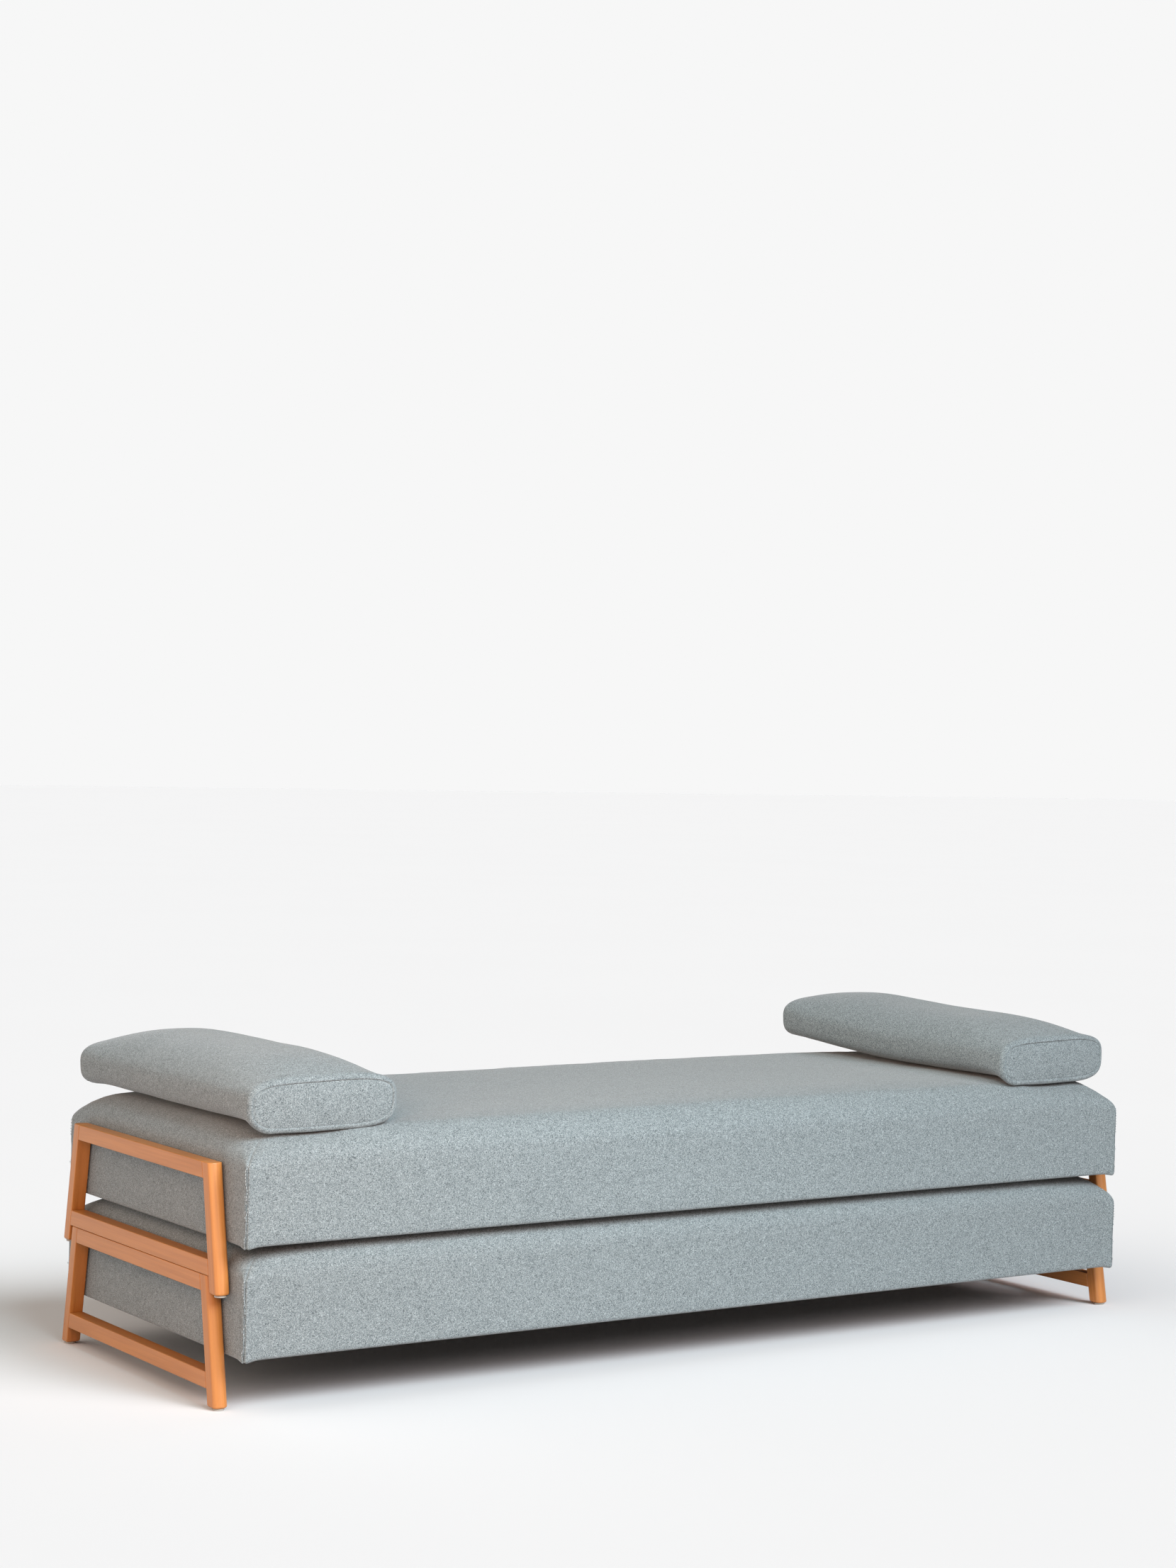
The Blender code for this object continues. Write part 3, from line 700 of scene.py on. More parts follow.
def cushion_skin(low, high, settings, count, body_rings, detailed, inset=0.0):
    """Rings along Y from the front end panel's middle to the back one's."""
    middle = [(a + b) / 2 for a, b in zip(low, high)]
    half_x = (high[0] - low[0]) / 2 - inset
    half_y = (high[1] - low[1]) / 2 - inset
    edge = settings.edge_round
    profile = []  # (distance in front of the end, inset of the section, share of the panel's size)
    if detailed:
        for share in (0.12, 0.3, 0.5, 0.68, 0.82, 0.92, 0.97):
            profile.append((settings.panel_dome * (1 - share ** 2) - 1.2 * MM, settings.rim_inset + 2.2 * MM,
                            share))
        profile += [(-1.0 * MM, settings.rim_inset + 1.5 * MM, 1.0),
                    (-settings.seam_depth, settings.rim_inset + 0.6 * MM, 1.0),
                    (-settings.seam_depth * 0.8, settings.rim_inset, 1.0)]
        for degrees in (82, 70, 55, 40, 25, 10):
            angle = math.radians(degrees)
            profile.append((edge * (math.sin(angle) - 1), (edge - 0.6 * MM) * (1 - math.cos(angle)), 1.0))
    else:
        for share in (0.15, 0.4, 0.65, 0.85):
            profile.append((0.0, edge, share))
        profile += [(-0.3 * edge, 0.3 * edge, 1.0)]
    first = half_y - edge
    ends = [(half_y + forward, shrink, share) for forward, shrink, share in profile]
    body = [(y, 0.0, 1.0) for y in np.linspace(first, -first, body_rings)]
    plan = ends + body + [(-y, shrink, share) for y, shrink, share in ends[::-1]]
    centre_z = low[2] + settings.end_height / 2
    rings = []
    for y, shrink, share in plan:
        swell = 1 - min(abs(y) / half_y, 1.0) ** settings.crown_power
        x, z = cushion_section(half_x - shrink, settings.end_height / 2 - inset - shrink,
                               settings.crown * swell, settings, count)
        x = middle[0] + x * share
        under = np.clip(-z / (settings.end_height / 2), 0, 1) * share
        drop = cushion_droop(x, np.full(count, middle[1] - y), middle, (half_x, half_y), settings)
        rings.append(np.column_stack([x, np.full(count, middle[1] - y), centre_z + z * share - drop * under]))
    return np.array(rings)


def cushion_faces(rows, count):
    """Faces of the rings and a fan over each end."""
    faces = grid_faces(rows, count)
    first, last = rows * count, rows * count + 1
    for j in range(count):
        k = (j + 1) % count
        faces.append((first, k, j))
        faces.append((last, (rows - 1) * count + j, (rows - 1) * count + k))
    return faces


def with_poles(skin):
    return np.concatenate([skin.reshape(-1, 3), [skin[0].mean(0)], [skin[-1].mean(0)]])


def cushion_swell(low, high, settings):
    """Moves of a coarse cushion that its filling pushes out."""
    skin = cushion_skin(low, high, settings, *COARSE_CUSHION, False, inset=settings.swell * 0.6)
    rest = with_poles(skin)
    shift = inflate("cushion_shell", rest, cushion_faces(*skin.shape[:2]), np.zeros(len(rest)),
                    settings.pressure)
    return rest, soft_cap(shift, settings.swell)


def settle(points, low, high, settings, end):
    """Lift a cushion's far end and turn it a little, as someone left it on the bed."""
    lift, turn = getattr(settings, f"lift_{end}"), getattr(settings, f"turn_{end}")
    centre, half = (low + high) / 2, (high - low) / 2
    back = np.clip(((points[:, 1] - centre[1]) / half[1] + 0.3) / 1.3, 0, None)
    moved = points.copy()
    moved[:, 2] += lift * back ** 2 + (settings.raise_right if end == "right" else 0.0)
    x, y = points[:, 0] - centre[0], points[:, 1] - centre[1]
    moved[:, 0] = centre[0] + x * math.cos(turn) - y * math.sin(turn)
    moved[:, 1] = centre[1] + x * math.sin(turn) + y * math.cos(turn)
    return moved


def filled(points, low, high, swell, share=1.0):
    """Points of a cushion's shell pushed out by its filling."""
    rest, shift = swell
    move = (low + high) / 2 - (rest.min(0) + rest.max(0)) / 2
    move[2] = 0.0
    return points + carry(points, rest + move, shift * share)


def make_cushion(end, low, high, swell, settings, ripple, material, seed):
    """Sleeve with an inset panel sewn in at each end."""
    skin = cushion_skin(low, high, settings, *FINE_CUSHION, True, inset=settings.swell * 0.6)
    faces = cushion_faces(*skin.shape[:2])
    points = filled(with_poles(skin), low, high, swell)
    points = points + ripples(points, point_normals(points, faces), ripple * 1.2, 0.09, seed)
    # it rests flat where it meets the bed
    centre, half = (low + high) / 2, (high - low) / 2
    floor = low[2] + 0.2 * MM - cushion_droop(points[:, 0], points[:, 1], centre, half, settings)
    sunk = floor - points[:, 2]
    points[:, 2] += np.where(sunk > -2 * MM, (sunk + 2 * MM) ** 2 / (8 * MM), 0.0)
    points[:, 2] = np.maximum(points[:, 2], floor)
    points = settle(points, low, high, settings, end)
    return tidy_mesh(mesh_piece(f"cushion_{end}_cover", points, faces, material))


def make_pad(end, low, high, swell, settings, material):
    """Foam pad just inside a cushion's cover."""
    skin = cushion_skin(low, high, settings, *COARSE_CUSHION, False, inset=settings.swell * 0.6 + 3 * MM)
    points = filled(with_poles(skin), low, high, swell, 0.8)
    points[:, 2] = np.maximum(points[:, 2], low[2] + 2.5 * MM)
    points = settle(points, low, high, settings, end)
    return tidy_mesh(mesh_piece(f"cushion_{end}_pad_foam", points, cushion_faces(*skin.shape[:2]),
                                material))


# ---- Repeats along a path, by Geometry Nodes ----

def new_tree(name, sockets):
    """Geometry Nodes group with a geometry input and output and the named inputs."""
    tree = bpy.data.node_groups.new(name, "GeometryNodeTree")
    tree.interface.new_socket("Geometry", in_out="INPUT", socket_type="NodeSocketGeometry")
    for label, kind in sockets:
        tree.interface.new_socket(label, in_out="INPUT", socket_type=kind)
    tree.interface.new_socket("Geometry", in_out="OUTPUT", socket_type="NodeSocketGeometry")
    return tree


def repeat_along_path_tree():
    """One shape set at equal steps along each edge path, turned along it and jittered a little."""
    tree = new_tree("Repeat Along Path", (("Shape", "NodeSocketObject"), ("Pitch", "NodeSocketFloat"),
                                          ("Jitter", "NodeSocketFloat"), ("Seed", "NodeSocketInt"),
                                          ("Material", "NodeSocketMaterial")))
    given = add_node(tree, "NodeGroupInput").outputs
    curve = add_node(tree, "GeometryNodeMeshToCurve", {"Mesh": given["Geometry"]})
    # mesh normals along the path arrive as a vector attribute, and set which way is up
    up = add_node(tree, "GeometryNodeInputNamedAttribute", {"Name": "up"}, data_type="FLOAT_VECTOR")
    steps = add_node(tree, "GeometryNodeResampleCurve", {"Curve": curve.outputs["Curve"],
                                                         "Length": given["Pitch"]}, mode="LENGTH")
    points = add_node(tree, "GeometryNodeCurveToPoints", {"Curve": steps.outputs["Curve"]},
                      mode="EVALUATED")
    upright = add_node(tree, "FunctionNodeAlignRotationToVector",
                       {"Vector": up.outputs["Attribute"]}, axis="Z")
    aligned = add_node(tree, "FunctionNodeAlignRotationToVector",
                       {"Rotation": upright.outputs["Rotation"], "Vector": points.outputs["Tangent"]},
                       axis="X", pivot_axis="Z")
    shape = add_node(tree, "GeometryNodeObjectInfo", {"Object": given["Shape"]})
    placed = add_node(tree, "GeometryNodeInstanceOnPoints",
                      {"Points": points.outputs["Points"], "Instance": shape.outputs["Geometry"],
                       "Rotation": aligned.outputs["Rotation"]})
    low = add_node(tree, "ShaderNodeVectorMath", {0: (-1.0, -1.0, 0.0)}, operation="SCALE")
    high = add_node(tree, "ShaderNodeVectorMath", {0: (1.0, 1.0, 0.0)}, operation="SCALE")
    for node in (low, high):
        tree.links.new(given["Jitter"], node.inputs["Scale"])
    shake = add_node(tree, "FunctionNodeRandomValue", {"Seed": given["Seed"]}, data_type="FLOAT_VECTOR")
    tree.links.new(low.outputs["Vector"], shake.inputs["Min"])
    tree.links.new(high.outputs["Vector"], shake.inputs["Max"])
    moved = add_node(tree, "GeometryNodeTranslateInstances",
                     {"Instances": placed.outputs["Instances"], "Translation": shake.outputs["Value"]})
    real = add_node(tree, "GeometryNodeRealizeInstances", {"Geometry": moved.outputs["Instances"]})
    dressed = add_node(tree, "GeometryNodeSetMaterial", {"Geometry": real.outputs["Geometry"],
                                                         "Material": given["Material"]})
    add_node(tree, "NodeGroupOutput", {"Geometry": dressed.outputs["Geometry"]})
    return tree


def repeat_along(name, paths, shape, pitch, jitter, seed, material, tree):
    """Run the tree on paths of (points, normals, closed) and return the result as a plain mesh object."""
    mesh = bpy.data.meshes.new(f"{name}_path")
    vertices, edges, ups = [], [], []
    for points, normals, closed in paths:
        first = len(vertices)
        vertices += [tuple(p) for p in points]
        ups += [tuple(n) for n in normals]
        edges += [(first + i, first + i + 1) for i in range(len(points) - 1)]
        if closed:
            edges.append((first + len(points) - 1, first))
    mesh.from_pydata(vertices, edges, [])
    up = mesh.attributes.new("up", "FLOAT_VECTOR", "POINT")
    up.data.foreach_set("vector", np.array(ups, np.float32).ravel())
    guide = add_object(f"{name}_guide", mesh)
    modifier = guide.modifiers.new("Repeat", "NODES")
    modifier.node_group = tree
    values = {"Shape": shape, "Pitch": pitch, "Jitter": jitter, "Seed": seed, "Material": material}
    for item in tree.interface.items_tree:
        if item.in_out == "INPUT" and item.name in values:
            modifier[item.identifier] = values[item.name]
    guide.update_tag()
    evaluated = guide.evaluated_get(bpy.context.evaluated_depsgraph_get())
    result = bpy.data.meshes.new_from_object(evaluated)
    result.name = name
    result.shade_smooth()
    if not result.materials:
        result.materials.append(material)
    if "up" in result.attributes:
        result.attributes.remove(result.attributes["up"])
    bpy.data.objects.remove(guide, do_unlink=True)
    bpy.data.meshes.remove(mesh)
    return add_object(name, result)


def pill(name, length, width, height, sides=8, rings=5):
    """Small rounded dash along X that stands a little out of the surface."""
    vertices, faces = [], []
    for i in range(rings):
        angle = math.pi * (i + 0.6) / (rings + 0.2)
        for j in range(sides):
            turn = 2 * math.pi * j / sides
            size = math.sin(angle) ** 0.6
            vertices.append((-length / 2 * math.cos(angle), width / 2 * size * math.cos(turn),
                             height * size * math.sin(turn)))
    faces = grid_faces(rings, sides)
    faces.append(tuple(range(sides))[::-1])
    faces.append(tuple((rings - 1) * sides + j for j in range(sides)))
    return tidy_mesh(mesh_piece(name, vertices, faces, None))


def staple(name, crown, wire):
    """Crown of a staple: a flat bar with bent ends that go into the wood."""
    half, t = crown / 2, wire / 2
    line = [(-half, -wire), (-half, wire * 0.55), (-half + wire, wire), (half - wire, wire),
            (half, wire * 0.55), (half, -wire)]
    vertices, faces = [], []
    for x, z in line:
        for dy, dz in ((-t, -t), (t, -t), (t, t), (-t, t)):
            vertices.append((x, dy, z + dz))
    for i in range(len(line) - 1):
        for j in range(4):
            k = (j + 1) % 4
            faces.append((4 * i + j, 4 * i + k, 4 * i + 4 + k, 4 * i + 4 + j))
    faces += [(3, 2, 1, 0), tuple(4 * (len(line) - 1) + j for j in range(4))]
    return tidy_mesh(mesh_piece(name, vertices, faces, None, smooth=False))


# ---- Wood and fittings ----

def grain_attribute(mesh, axis, seed):
    """Store, point by point, a place whose Z runs along the fibres, set off by a seed for each piece."""
    turn = Vector(axis).rotation_difference(Vector((0, 0, 1))).to_matrix()
    offset = Vector((seed * 0.37 % 1.0, seed * 0.71 % 1.0, seed * 0.53 % 1.0))
    places = np.array([turn @ v.co + offset for v in mesh.vertices], np.float32)
    attribute = mesh.attributes.new("grain", "FLOAT_VECTOR", "POINT")
    attribute.data.foreach_set("vector", places.ravel())


def refined_wood(node, name, axis, seed, material):
    """Copy of a wooden CAD part with merged points and faces that shade softly over its rounded edges."""
    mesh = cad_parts[node].data.copy()
    mesh.name = name
    mesh.materials.clear()
    mesh.materials.append(material)
    piece = add_object(name, mesh)
    tidy_mesh(piece, merge=0.02 * MM)
    mesh.shade_smooth()
    mesh.set_sharp_from_angle(angle=math.radians(50))
    grain_attribute(mesh, axis, seed)
    weighted = piece.modifiers.new("Weighted", "WEIGHTED_NORMAL")
    weighted.keep_sharp = True
    weighted.weight = 80
    return piece


def turned_glide(name, low, high, material):
    """Floor glide: a thick disc with a rounded rim and a domed sole, and its pin."""
    centre = ((low[0] + high[0]) / 2, (low[1] + high[1]) / 2)
    radius = (high[0] - low[0]) / 2
    disc, rim = 3 * MM, 0.9 * MM
    profile = [(0.0, low[2]), (radius - 3 * rim, low[2])]
    for degrees in range(0, 100, 15):
        angle = math.radians(degrees)
        profile.append((radius - rim + rim * math.sin(angle), low[2] + rim - rim * math.cos(angle)))
    profile += [(radius, low[2] + disc - 0.3 * MM), (radius - 0.3 * MM, low[2] + disc),
                (1.5 * MM, low[2] + disc), (1.5 * MM, high[2] - 0.5 * MM), (0.9 * MM, high[2]),
                (0.0, high[2])]
    bm = bmesh.new()
    line = [bm.verts.new((r, 0.0, z)) for r, z in profile]
    edges = [bm.edges.new(pair) for pair in zip(line, line[1:])]
    bmesh.ops.spin(bm, geom=line + edges, cent=(0, 0, 0), axis=(0, 0, 1), angle=2 * math.pi, steps=40)
    bmesh.ops.remove_doubles(bm, verts=bm.verts, dist=0.01 * MM)
    bmesh.ops.translate(bm, verts=bm.verts, vec=(*centre, 0.0))
    bmesh.ops.recalc_face_normals(bm, faces=bm.faces)
    mesh = bpy.data.meshes.new(name)
    bm.to_mesh(mesh)
    bm.free()
    mesh.shade_smooth()
    mesh.set_sharp_from_angle(angle=math.radians(40))
    mesh.materials.append(material)
    return add_object(name, mesh)


def hang(piece, body, slot, *nodes):
    """Ride on a body and stand for its CAD nodes; the slot is not used."""
    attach(piece, body)
    if nodes:
        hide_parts(*nodes)
    return piece


# ---- Operators ----

# The camera's lens in millimetres, its place, and its heading, dip and roll in degrees
LENS = 87.8
EYE = (-3.034, -4.445, 1.069)
HEADING, DIP, ROLL = -33.6, 0.62, 1.24
# Light from all round: the way that each broad lobe lies, and its linear colour
SKY_LOBES = (((-1.0, 0.0, 0.0), (1.73, 1.58, 1.42)),
             ((0.0, 1.0, 0.0), (0.03, 0.03, 0.03)))
# Main lights: name, the way to the light, and its linear colour
KEY_LIGHTS = (("key", (0.15, -0.9, 0.9), (1.13, 1.49, 1.62)),
              ("low_key", (0.5, -1.0, 0.7), (1.72, 1.58, 1.62)))
KEY_SPREAD = 32  # degrees, which makes the shadows' edges soft
# Softboxes: name, place, what it faces, its side in metres, and its linear colour
SOFTBOXES = (("near_softbox", (-1.7, -1.6, 0.9), (-0.7, -0.35, 0.25), 0.9, (0.48, 0.24, 0.14)),
             ("front_softbox", (-0.6, -1.9, 1.6), (-0.5, -0.2, 0.35), 1.1, (1.18, 1.42, 1.48)))


class DAYBED_OT_stage(Operator):
    """Make the camera, the pale floor, the backdrop and the studio light"""
    bl_idname = "daybed.stage"
    bl_label = "Stage"

    def execute(self, context):
        scene = context.scene
        settings = scene.daybed.stage
        scene.view_settings.view_transform = "Standard"
        scene.view_settings.look = "None"
        self.camera(scene)
        floor = self.floor(settings)
        self.world(scene, settings)
        self.lights(settings, floor)
        return {"FINISHED"}

    def camera(self, scene):
        """Long lens from the front left, a little above the seat."""
        data = bpy.data.cameras.new("camera")
        data.sensor_fit = "HORIZONTAL"
        data.sensor_width = 36.0
        data.lens = LENS
        data.clip_end = 100.0
        camera = add_object("camera", data)
        camera.matrix_world = (Matrix.Translation(EYE) @ Matrix.Rotation(math.radians(HEADING), 4, "Z")
                               @ Matrix.Rotation(math.radians(90 - DIP), 4, "X")
                               @ Matrix.Rotation(math.radians(ROLL), 4, "Z"))
        scene.camera = camera

    def floor(self, settings):
        """Seamless painted floor: matt, very pale, with a faint trowelled unevenness."""
        material, tree, shader = principled("emulsion_painted_floor", Roughness=0.9, Specular_IOR_Level=0.0)
        place = add_node(tree, "ShaderNodeTexCoord").outputs["Object"]
        cloud = add_node(tree, "ShaderNodeTexNoise", {"Vector": place, "Scale": 0.7}).outputs["Fac"]
        worn = tuple(c * 0.985 for c in settings.floor_color)
        tree.links.new(ramp(tree, cloud, [(0.0, worn), (1.0, settings.floor_color)]),
                       shader.inputs["Base Color"])
        size = 60.0
        corners = [(-size, -size, 0), (size, -size, 0), (size, size, 0), (-size, size, 0)]
        floor = mesh_piece("floor", corners, [(0, 1, 2, 3)], material, smooth=False)
        floor.location.z = -0.05 * MM
        return floor

    def world(self, scene, settings):
        """Light from all round, as broad lobes: warm on the left and faint behind."""
        world = bpy.data.worlds.new("studio")
        world.use_nodes = True
        tree = world.node_tree
        tree.nodes.clear()
        direction = add_node(tree, "ShaderNodeTexCoord").outputs["Generated"]
        total = None
        for towards, color in SKY_LOBES:
            facing = add_node(tree, "ShaderNodeVectorMath", {0: direction, 1: towards},
                              operation="DOT_PRODUCT")
            share = add_node(tree, "ShaderNodeMath", {0: facing.outputs["Value"], 1: 0.0},
                             operation="MAXIMUM")
            lobe = add_node(tree, "ShaderNodeVectorMath", {0: color}, operation="SCALE")
            tree.links.new(share.outputs["Value"], lobe.inputs["Scale"])
            if total is None:
                total = lobe.outputs["Vector"]
            else:
                total = add_node(tree, "ShaderNodeVectorMath", {0: total, 1: lobe.outputs["Vector"]},
                                 operation="ADD").outputs["Vector"]
        light = add_node(tree, "ShaderNodeBackground", {"Color": total, "Strength": settings.sky})
        seen = add_node(tree, "ShaderNodeBackground", {"Color": rgba((settings.backdrop,) * 3)})
        path = add_node(tree, "ShaderNodeLightPath")
        mix = add_node(tree, "ShaderNodeMixShader", {0: path.outputs["Is Camera Ray"],
                                                     1: light.outputs["Background"],
                                                     2: seen.outputs["Background"]})
        add_node(tree, "ShaderNodeOutputWorld", {"Surface": mix.outputs["Shader"]})
        scene.world = world

    def lights(self, settings, floor):
        """Two broad lights in front, and softboxes near the left end that only light the furniture."""
        for name, towards, color in KEY_LIGHTS:
            key = bpy.data.lights.new(name, "SUN")
            key.energy = settings.key
            key.angle = math.radians(KEY_SPREAD)
            key.color = color
            lamp = add_object(name, key)
            lamp.rotation_euler = (-Vector(towards)).to_track_quat("-Z", "Y").to_euler()
        unlit = bpy.data.collections.new("not_lit_by_softboxes")
        unlit.objects.link(floor)
        for name, place, target, size, color in SOFTBOXES:
            panel = bpy.data.lights.new(name, "AREA")
            panel.shape = "SQUARE"
            panel.size = size
            panel.energy = settings.panel
            panel.color = color
            box = add_object(name, panel)
            box.location = place
            box.rotation_euler = (Vector(target) - Vector(place)).to_track_quat("-Z", "Y").to_euler()
            box.light_linking.receiver_collection = unlit
        unlit.collection_objects[0].light_linking.link_state = "EXCLUDE"


class DAYBED_OT_covers(Operator):
    """Make the fabric covers of both beds over their foam"""
    bl_idname = "daybed.covers"
    bl_label = "Bed Covers"

    def execute(self, context):
        settings = context.scene.daybed.cover
        felt = felt_material(settings)
        foam = foam_material()
        low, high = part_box("lower_cover")
        swell = cover_swell(low, high, settings)
        for seed, unit in enumerate(UNITS):
            low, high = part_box(f"{unit}_cover")
            body = BODIES[unit]
            cover, seams = make_cover(unit, low, high, swell, settings, felt, seed + 1)
            hang(cover, body, "melange_fabric", f"{unit}_cover")
            block = make_foam(unit, low, high, swell, settings, foam)
            hang(block, body, "foam", f"{unit}_foam_core")
            SEAMS[unit] = seams
        return {"FINISHED"}


class DAYBED_OT_cushions(Operator):
    """Make the two loose cushions and their pads"""
    bl_idname = "daybed.cushions"
    bl_label = "Cushions"

    def execute(self, context):
        settings = context.scene.daybed.cushion
        ripple = context.scene.daybed.cover.ripple
        felt = bpy.data.materials["wool_melange_felted"]
        foam = bpy.data.materials["polyurethane_foam_cut"]
        low, high = (np.array(corner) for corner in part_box("cushion_cover_left"))
        swell = cushion_swell(low, high, settings)
        for seed, (end, _) in enumerate(ENDS):
            low, high = (np.array(corner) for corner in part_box(f"cushion_cover_{end}"))
            body = f"cushion_{end}"
            cover = make_cushion(end, low, high, swell, settings, ripple, felt, seed + 11)
            hang(cover, body, "melange_fabric", f"cushion_cover_{end}")
            pad = make_pad(end, low, high, swell, settings, foam)
            hang(pad, body, "foam", f"cushion_pad_{end}")
        return {"FINISHED"}


class DAYBED_OT_stitching(Operator):
    """Sew a row of stitches beside each corner seam"""
    bl_idname = "daybed.stitching"
    bl_label = "Stitching"

    def execute(self, context):
        settings = context.scene.daybed.stitch
        thread = thread_material(settings)
        tree = repeat_along_path_tree()
        stitch = pill("stitch", settings.length, settings.thread, settings.thread * 0.6)
        for seed, unit in enumerate(UNITS):
            paths = []
            for quarter, (points, normals, across) in enumerate(SEAMS[unit]):
                # the stitches lie on the end panel's side of the seam
                side = 1 if quarter % 2 else -1
                place = points + across * settings.offset * side + normals * 0.3 * MM
                paths.append((place[:-2], normals[:-2], False))
            sewn = repeat_along(f"{unit}_seam_stitches", paths, stitch, settings.pitch, 0.15 * MM, seed + 3,
                                thread, tree)
            hang(sewn, BODIES[unit], "melange_fabric")
        bpy.data.objects.remove(stitch, do_unlink=True)
        return {"FINISHED"}


class DAYBED_OT_end_frames(Operator):
    """Give the posts, rails and stretchers their grain and lacquer"""
    bl_idname = "daybed.end_frames"
    bl_label = "End Frames"

    def execute(self, context):
        beech = beech_material(context.scene.daybed.wood)
        seed = 0
        for unit in UNITS:
            for end, _ in ENDS:
                for part in ("top_rail", "stretcher"):
                    seed += 1
                    node = f"{unit}_{part}_{end}"
                    bar = refined_wood(node, f"{node}_beech", (0, 1, 0), seed, beech)
                    hang(bar, BODIES[unit], "beech", node)
                for side, sign in SIDES:
                    seed += 1
                    node = f"{unit}_post_{side}_{end}"
                    post = refined_wood(node, f"{node}_beech", (0, -0.174 * sign, 1), seed, beech)
                    hang(post, BODIES[unit], "beech", node)
        return {"FINISHED"}


class DAYBED_OT_fittings(Operator):
    """Turn the floor glides, and finish the bolts"""
    bl_idname = "daybed.fittings"
    bl_label = "Fittings"

    def execute(self, context):
        plastic = glide_material()
        steel = steel_material()
        for unit in UNITS:
            for end, _ in ENDS:
                for side, _ in SIDES:
                    node = f"{unit}_glide_{side}_{end}"
                    glide = turned_glide(f"{node}_moulded", *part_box(node), plastic)
                    hang(glide, BODIES[unit], "glide_plastic", node)
                    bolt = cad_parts[f"{unit}_frame_bolt_{side}_{end}"]
                    bolt.material_slots[0].material = steel
        return {"FINISHED"}


class DAYBED_OT_base(Operator):
    """Give the wooden base's rails and slats their sawn pine"""
    bl_idname = "daybed.base"
    bl_label = "Wooden Base"

    def execute(self, context):
        settings = context.scene.daybed.wood
        along_x = pine_material(settings, "x")
        along_y = pine_material(settings, "y")
        for name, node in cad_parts.items():
            if "base_rail" in name:
                node.material_slots[0].material = along_x
            elif "base_end_rail" in name or "slat" in name:
                node.material_slots[0].material = along_y
        return {"FINISHED"}


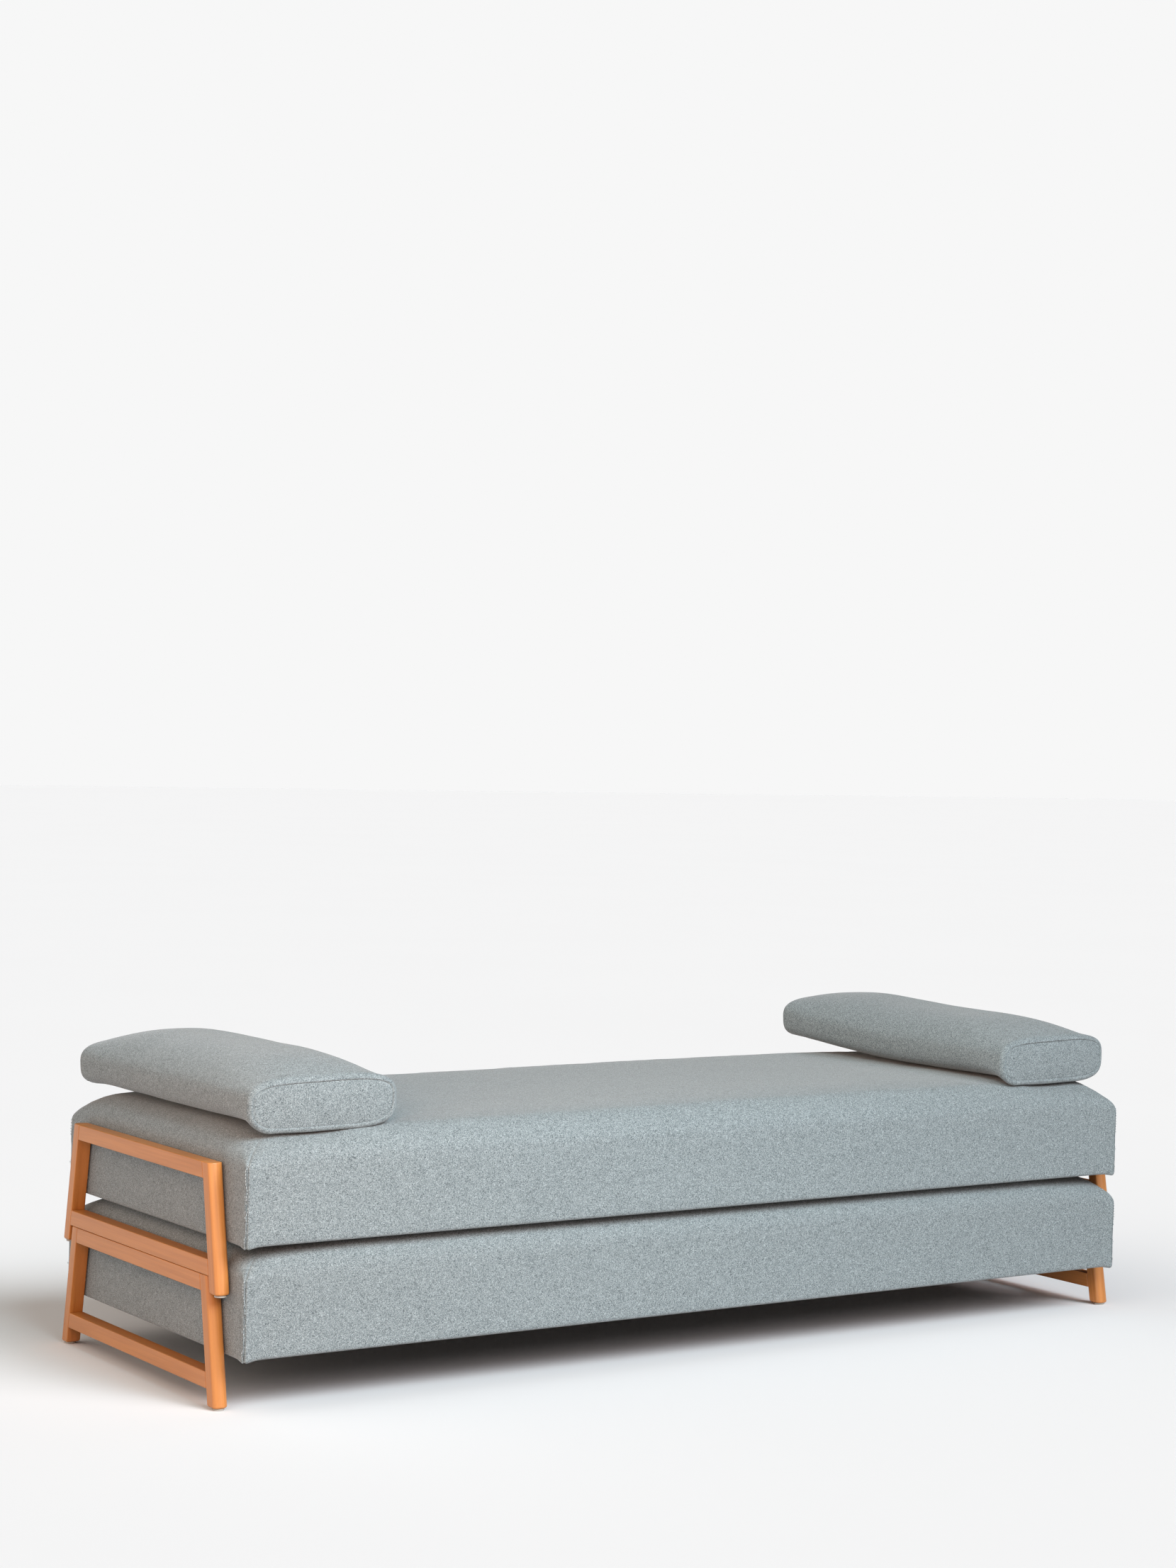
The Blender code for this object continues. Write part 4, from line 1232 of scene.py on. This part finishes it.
class DAYBED_OT_underside(Operator):
    """Stretch the lining under each base and staple it down"""
    bl_idname = "daybed.underside"
    bl_label = "Underside"

    def execute(self, context):
        settings = context.scene.daybed.underside
        lining = lining_material()
        wire = bpy.data.materials["steel_zinc_plated"]
        tree = bpy.data.node_groups["Repeat Along Path"]
        shape = staple("staple", settings.staple_crown, 0.9 * MM)
        for seed, unit in enumerate(UNITS):
            low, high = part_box(f"{unit}_underside_lining")
            sheet = self.lining(unit, low, high, settings, lining)
            hang(sheet, BODIES[unit], "lining", f"{unit}_underside_lining")
            inset = settings.staple_inset
            ring, _ = outline((high[0] - low[0]) / 2 - inset, (high[1] - low[1]) / 2 - inset, 4 * MM,
                              (60, 20, 4))
            path = np.column_stack([ring, np.full(len(ring), low[2] - 0.1 * MM)])
            down = np.tile((0.0, 0.0, -1.0), (len(ring), 1))
            row = repeat_along(f"{unit}_lining_staples", [(path, down, True)], shape,
                               settings.staple_pitch, 1.0 * MM, seed + 21, wire, tree)
            hang(row, BODIES[unit], "bolt_steel")
        bpy.data.objects.remove(shape, do_unlink=True)
        return {"FINISHED"}

    def lining(self, unit, low, high, settings, material):
        """Thin sheet that sags a little between the rails and puckers at its edge."""
        across, along = 40, 108
        half_x, half_y = (high[0] - low[0]) / 2, (high[1] - low[1]) / 2
        vertices, faces = [], []
        for i in range(along + 1):
            for j in range(across + 1):
                x = half_x * (2 * i / along - 1)
                y = half_y * (2 * j / across - 1)
                edge = min(half_x - abs(x), half_y - abs(y))
                free = min(max((edge - 0.012) / 0.05, 0.0), 1.0)
                sag = settings.sag * free * (1 + 0.5 * noise.noise(Vector((x * 9, y * 9, 0))))
                vertices.append((x, y, low[2] + 0.8 * MM - sag))
        for i in range(along):
            for j in range(across):
                a = i * (across + 1) + j
                faces.append((a, a + 1, a + across + 2, a + across + 1))
        sheet = mesh_piece(f"{unit}_lining_cloth", vertices, faces, material)
        wall = sheet.modifiers.new("Cloth", "SOLIDIFY")
        wall.thickness = 0.4 * MM
        wall.offset = 0.0
        return sheet


class DAYBED_PT_panel(Panel):
    """Buttons and sizes of the day bed sofa"""
    bl_idname = "DAYBED_PT_panel"
    bl_label = "Day Bed Sofa"
    bl_space_type = "VIEW_3D"
    bl_region_type = "UI"
    bl_category = "Day Bed"

    def draw(self, context):
        layout = self.layout
        for operator in OPERATORS:
            layout.operator(operator.bl_idname)
        for group in ("cover", "cushion", "stitch", "wood", "underside", "stage"):
            settings = getattr(context.scene.daybed, group)
            box = layout.box()
            box.label(text=group.title())
            for name in settings.__annotations__:
                box.prop(settings, name)


SEAMS = {}  # for each bed, its corner seams as points, normals and directions across
OPERATORS = (DAYBED_OT_stage, DAYBED_OT_covers, DAYBED_OT_cushions, DAYBED_OT_stitching,
             DAYBED_OT_end_frames, DAYBED_OT_fittings, DAYBED_OT_base, DAYBED_OT_underside)
CLASSES = (DayBedCoverSettings, DayBedCushionSettings, DayBedStitchSettings, DayBedWoodSettings,
           DayBedUndersideSettings, DayBedStageSettings, DayBedSettings, *OPERATORS, DAYBED_PT_panel)


def register():
    for cls in CLASSES:
        bpy.utils.register_class(cls)
    bpy.types.Scene.daybed = PointerProperty(type=DayBedSettings)


def unregister():
    del bpy.types.Scene.daybed
    for cls in reversed(CLASSES):
        bpy.utils.unregister_class(cls)


def main():
    """Make every group of pieces in order."""
    register()
    bpy.ops.daybed.stage()
    bpy.ops.daybed.covers()
    bpy.ops.daybed.cushions()
    bpy.ops.daybed.stitching()
    bpy.ops.daybed.end_frames()
    bpy.ops.daybed.fittings()
    bpy.ops.daybed.base()
    bpy.ops.daybed.underside()


if __name__ == "__main__":
    main()
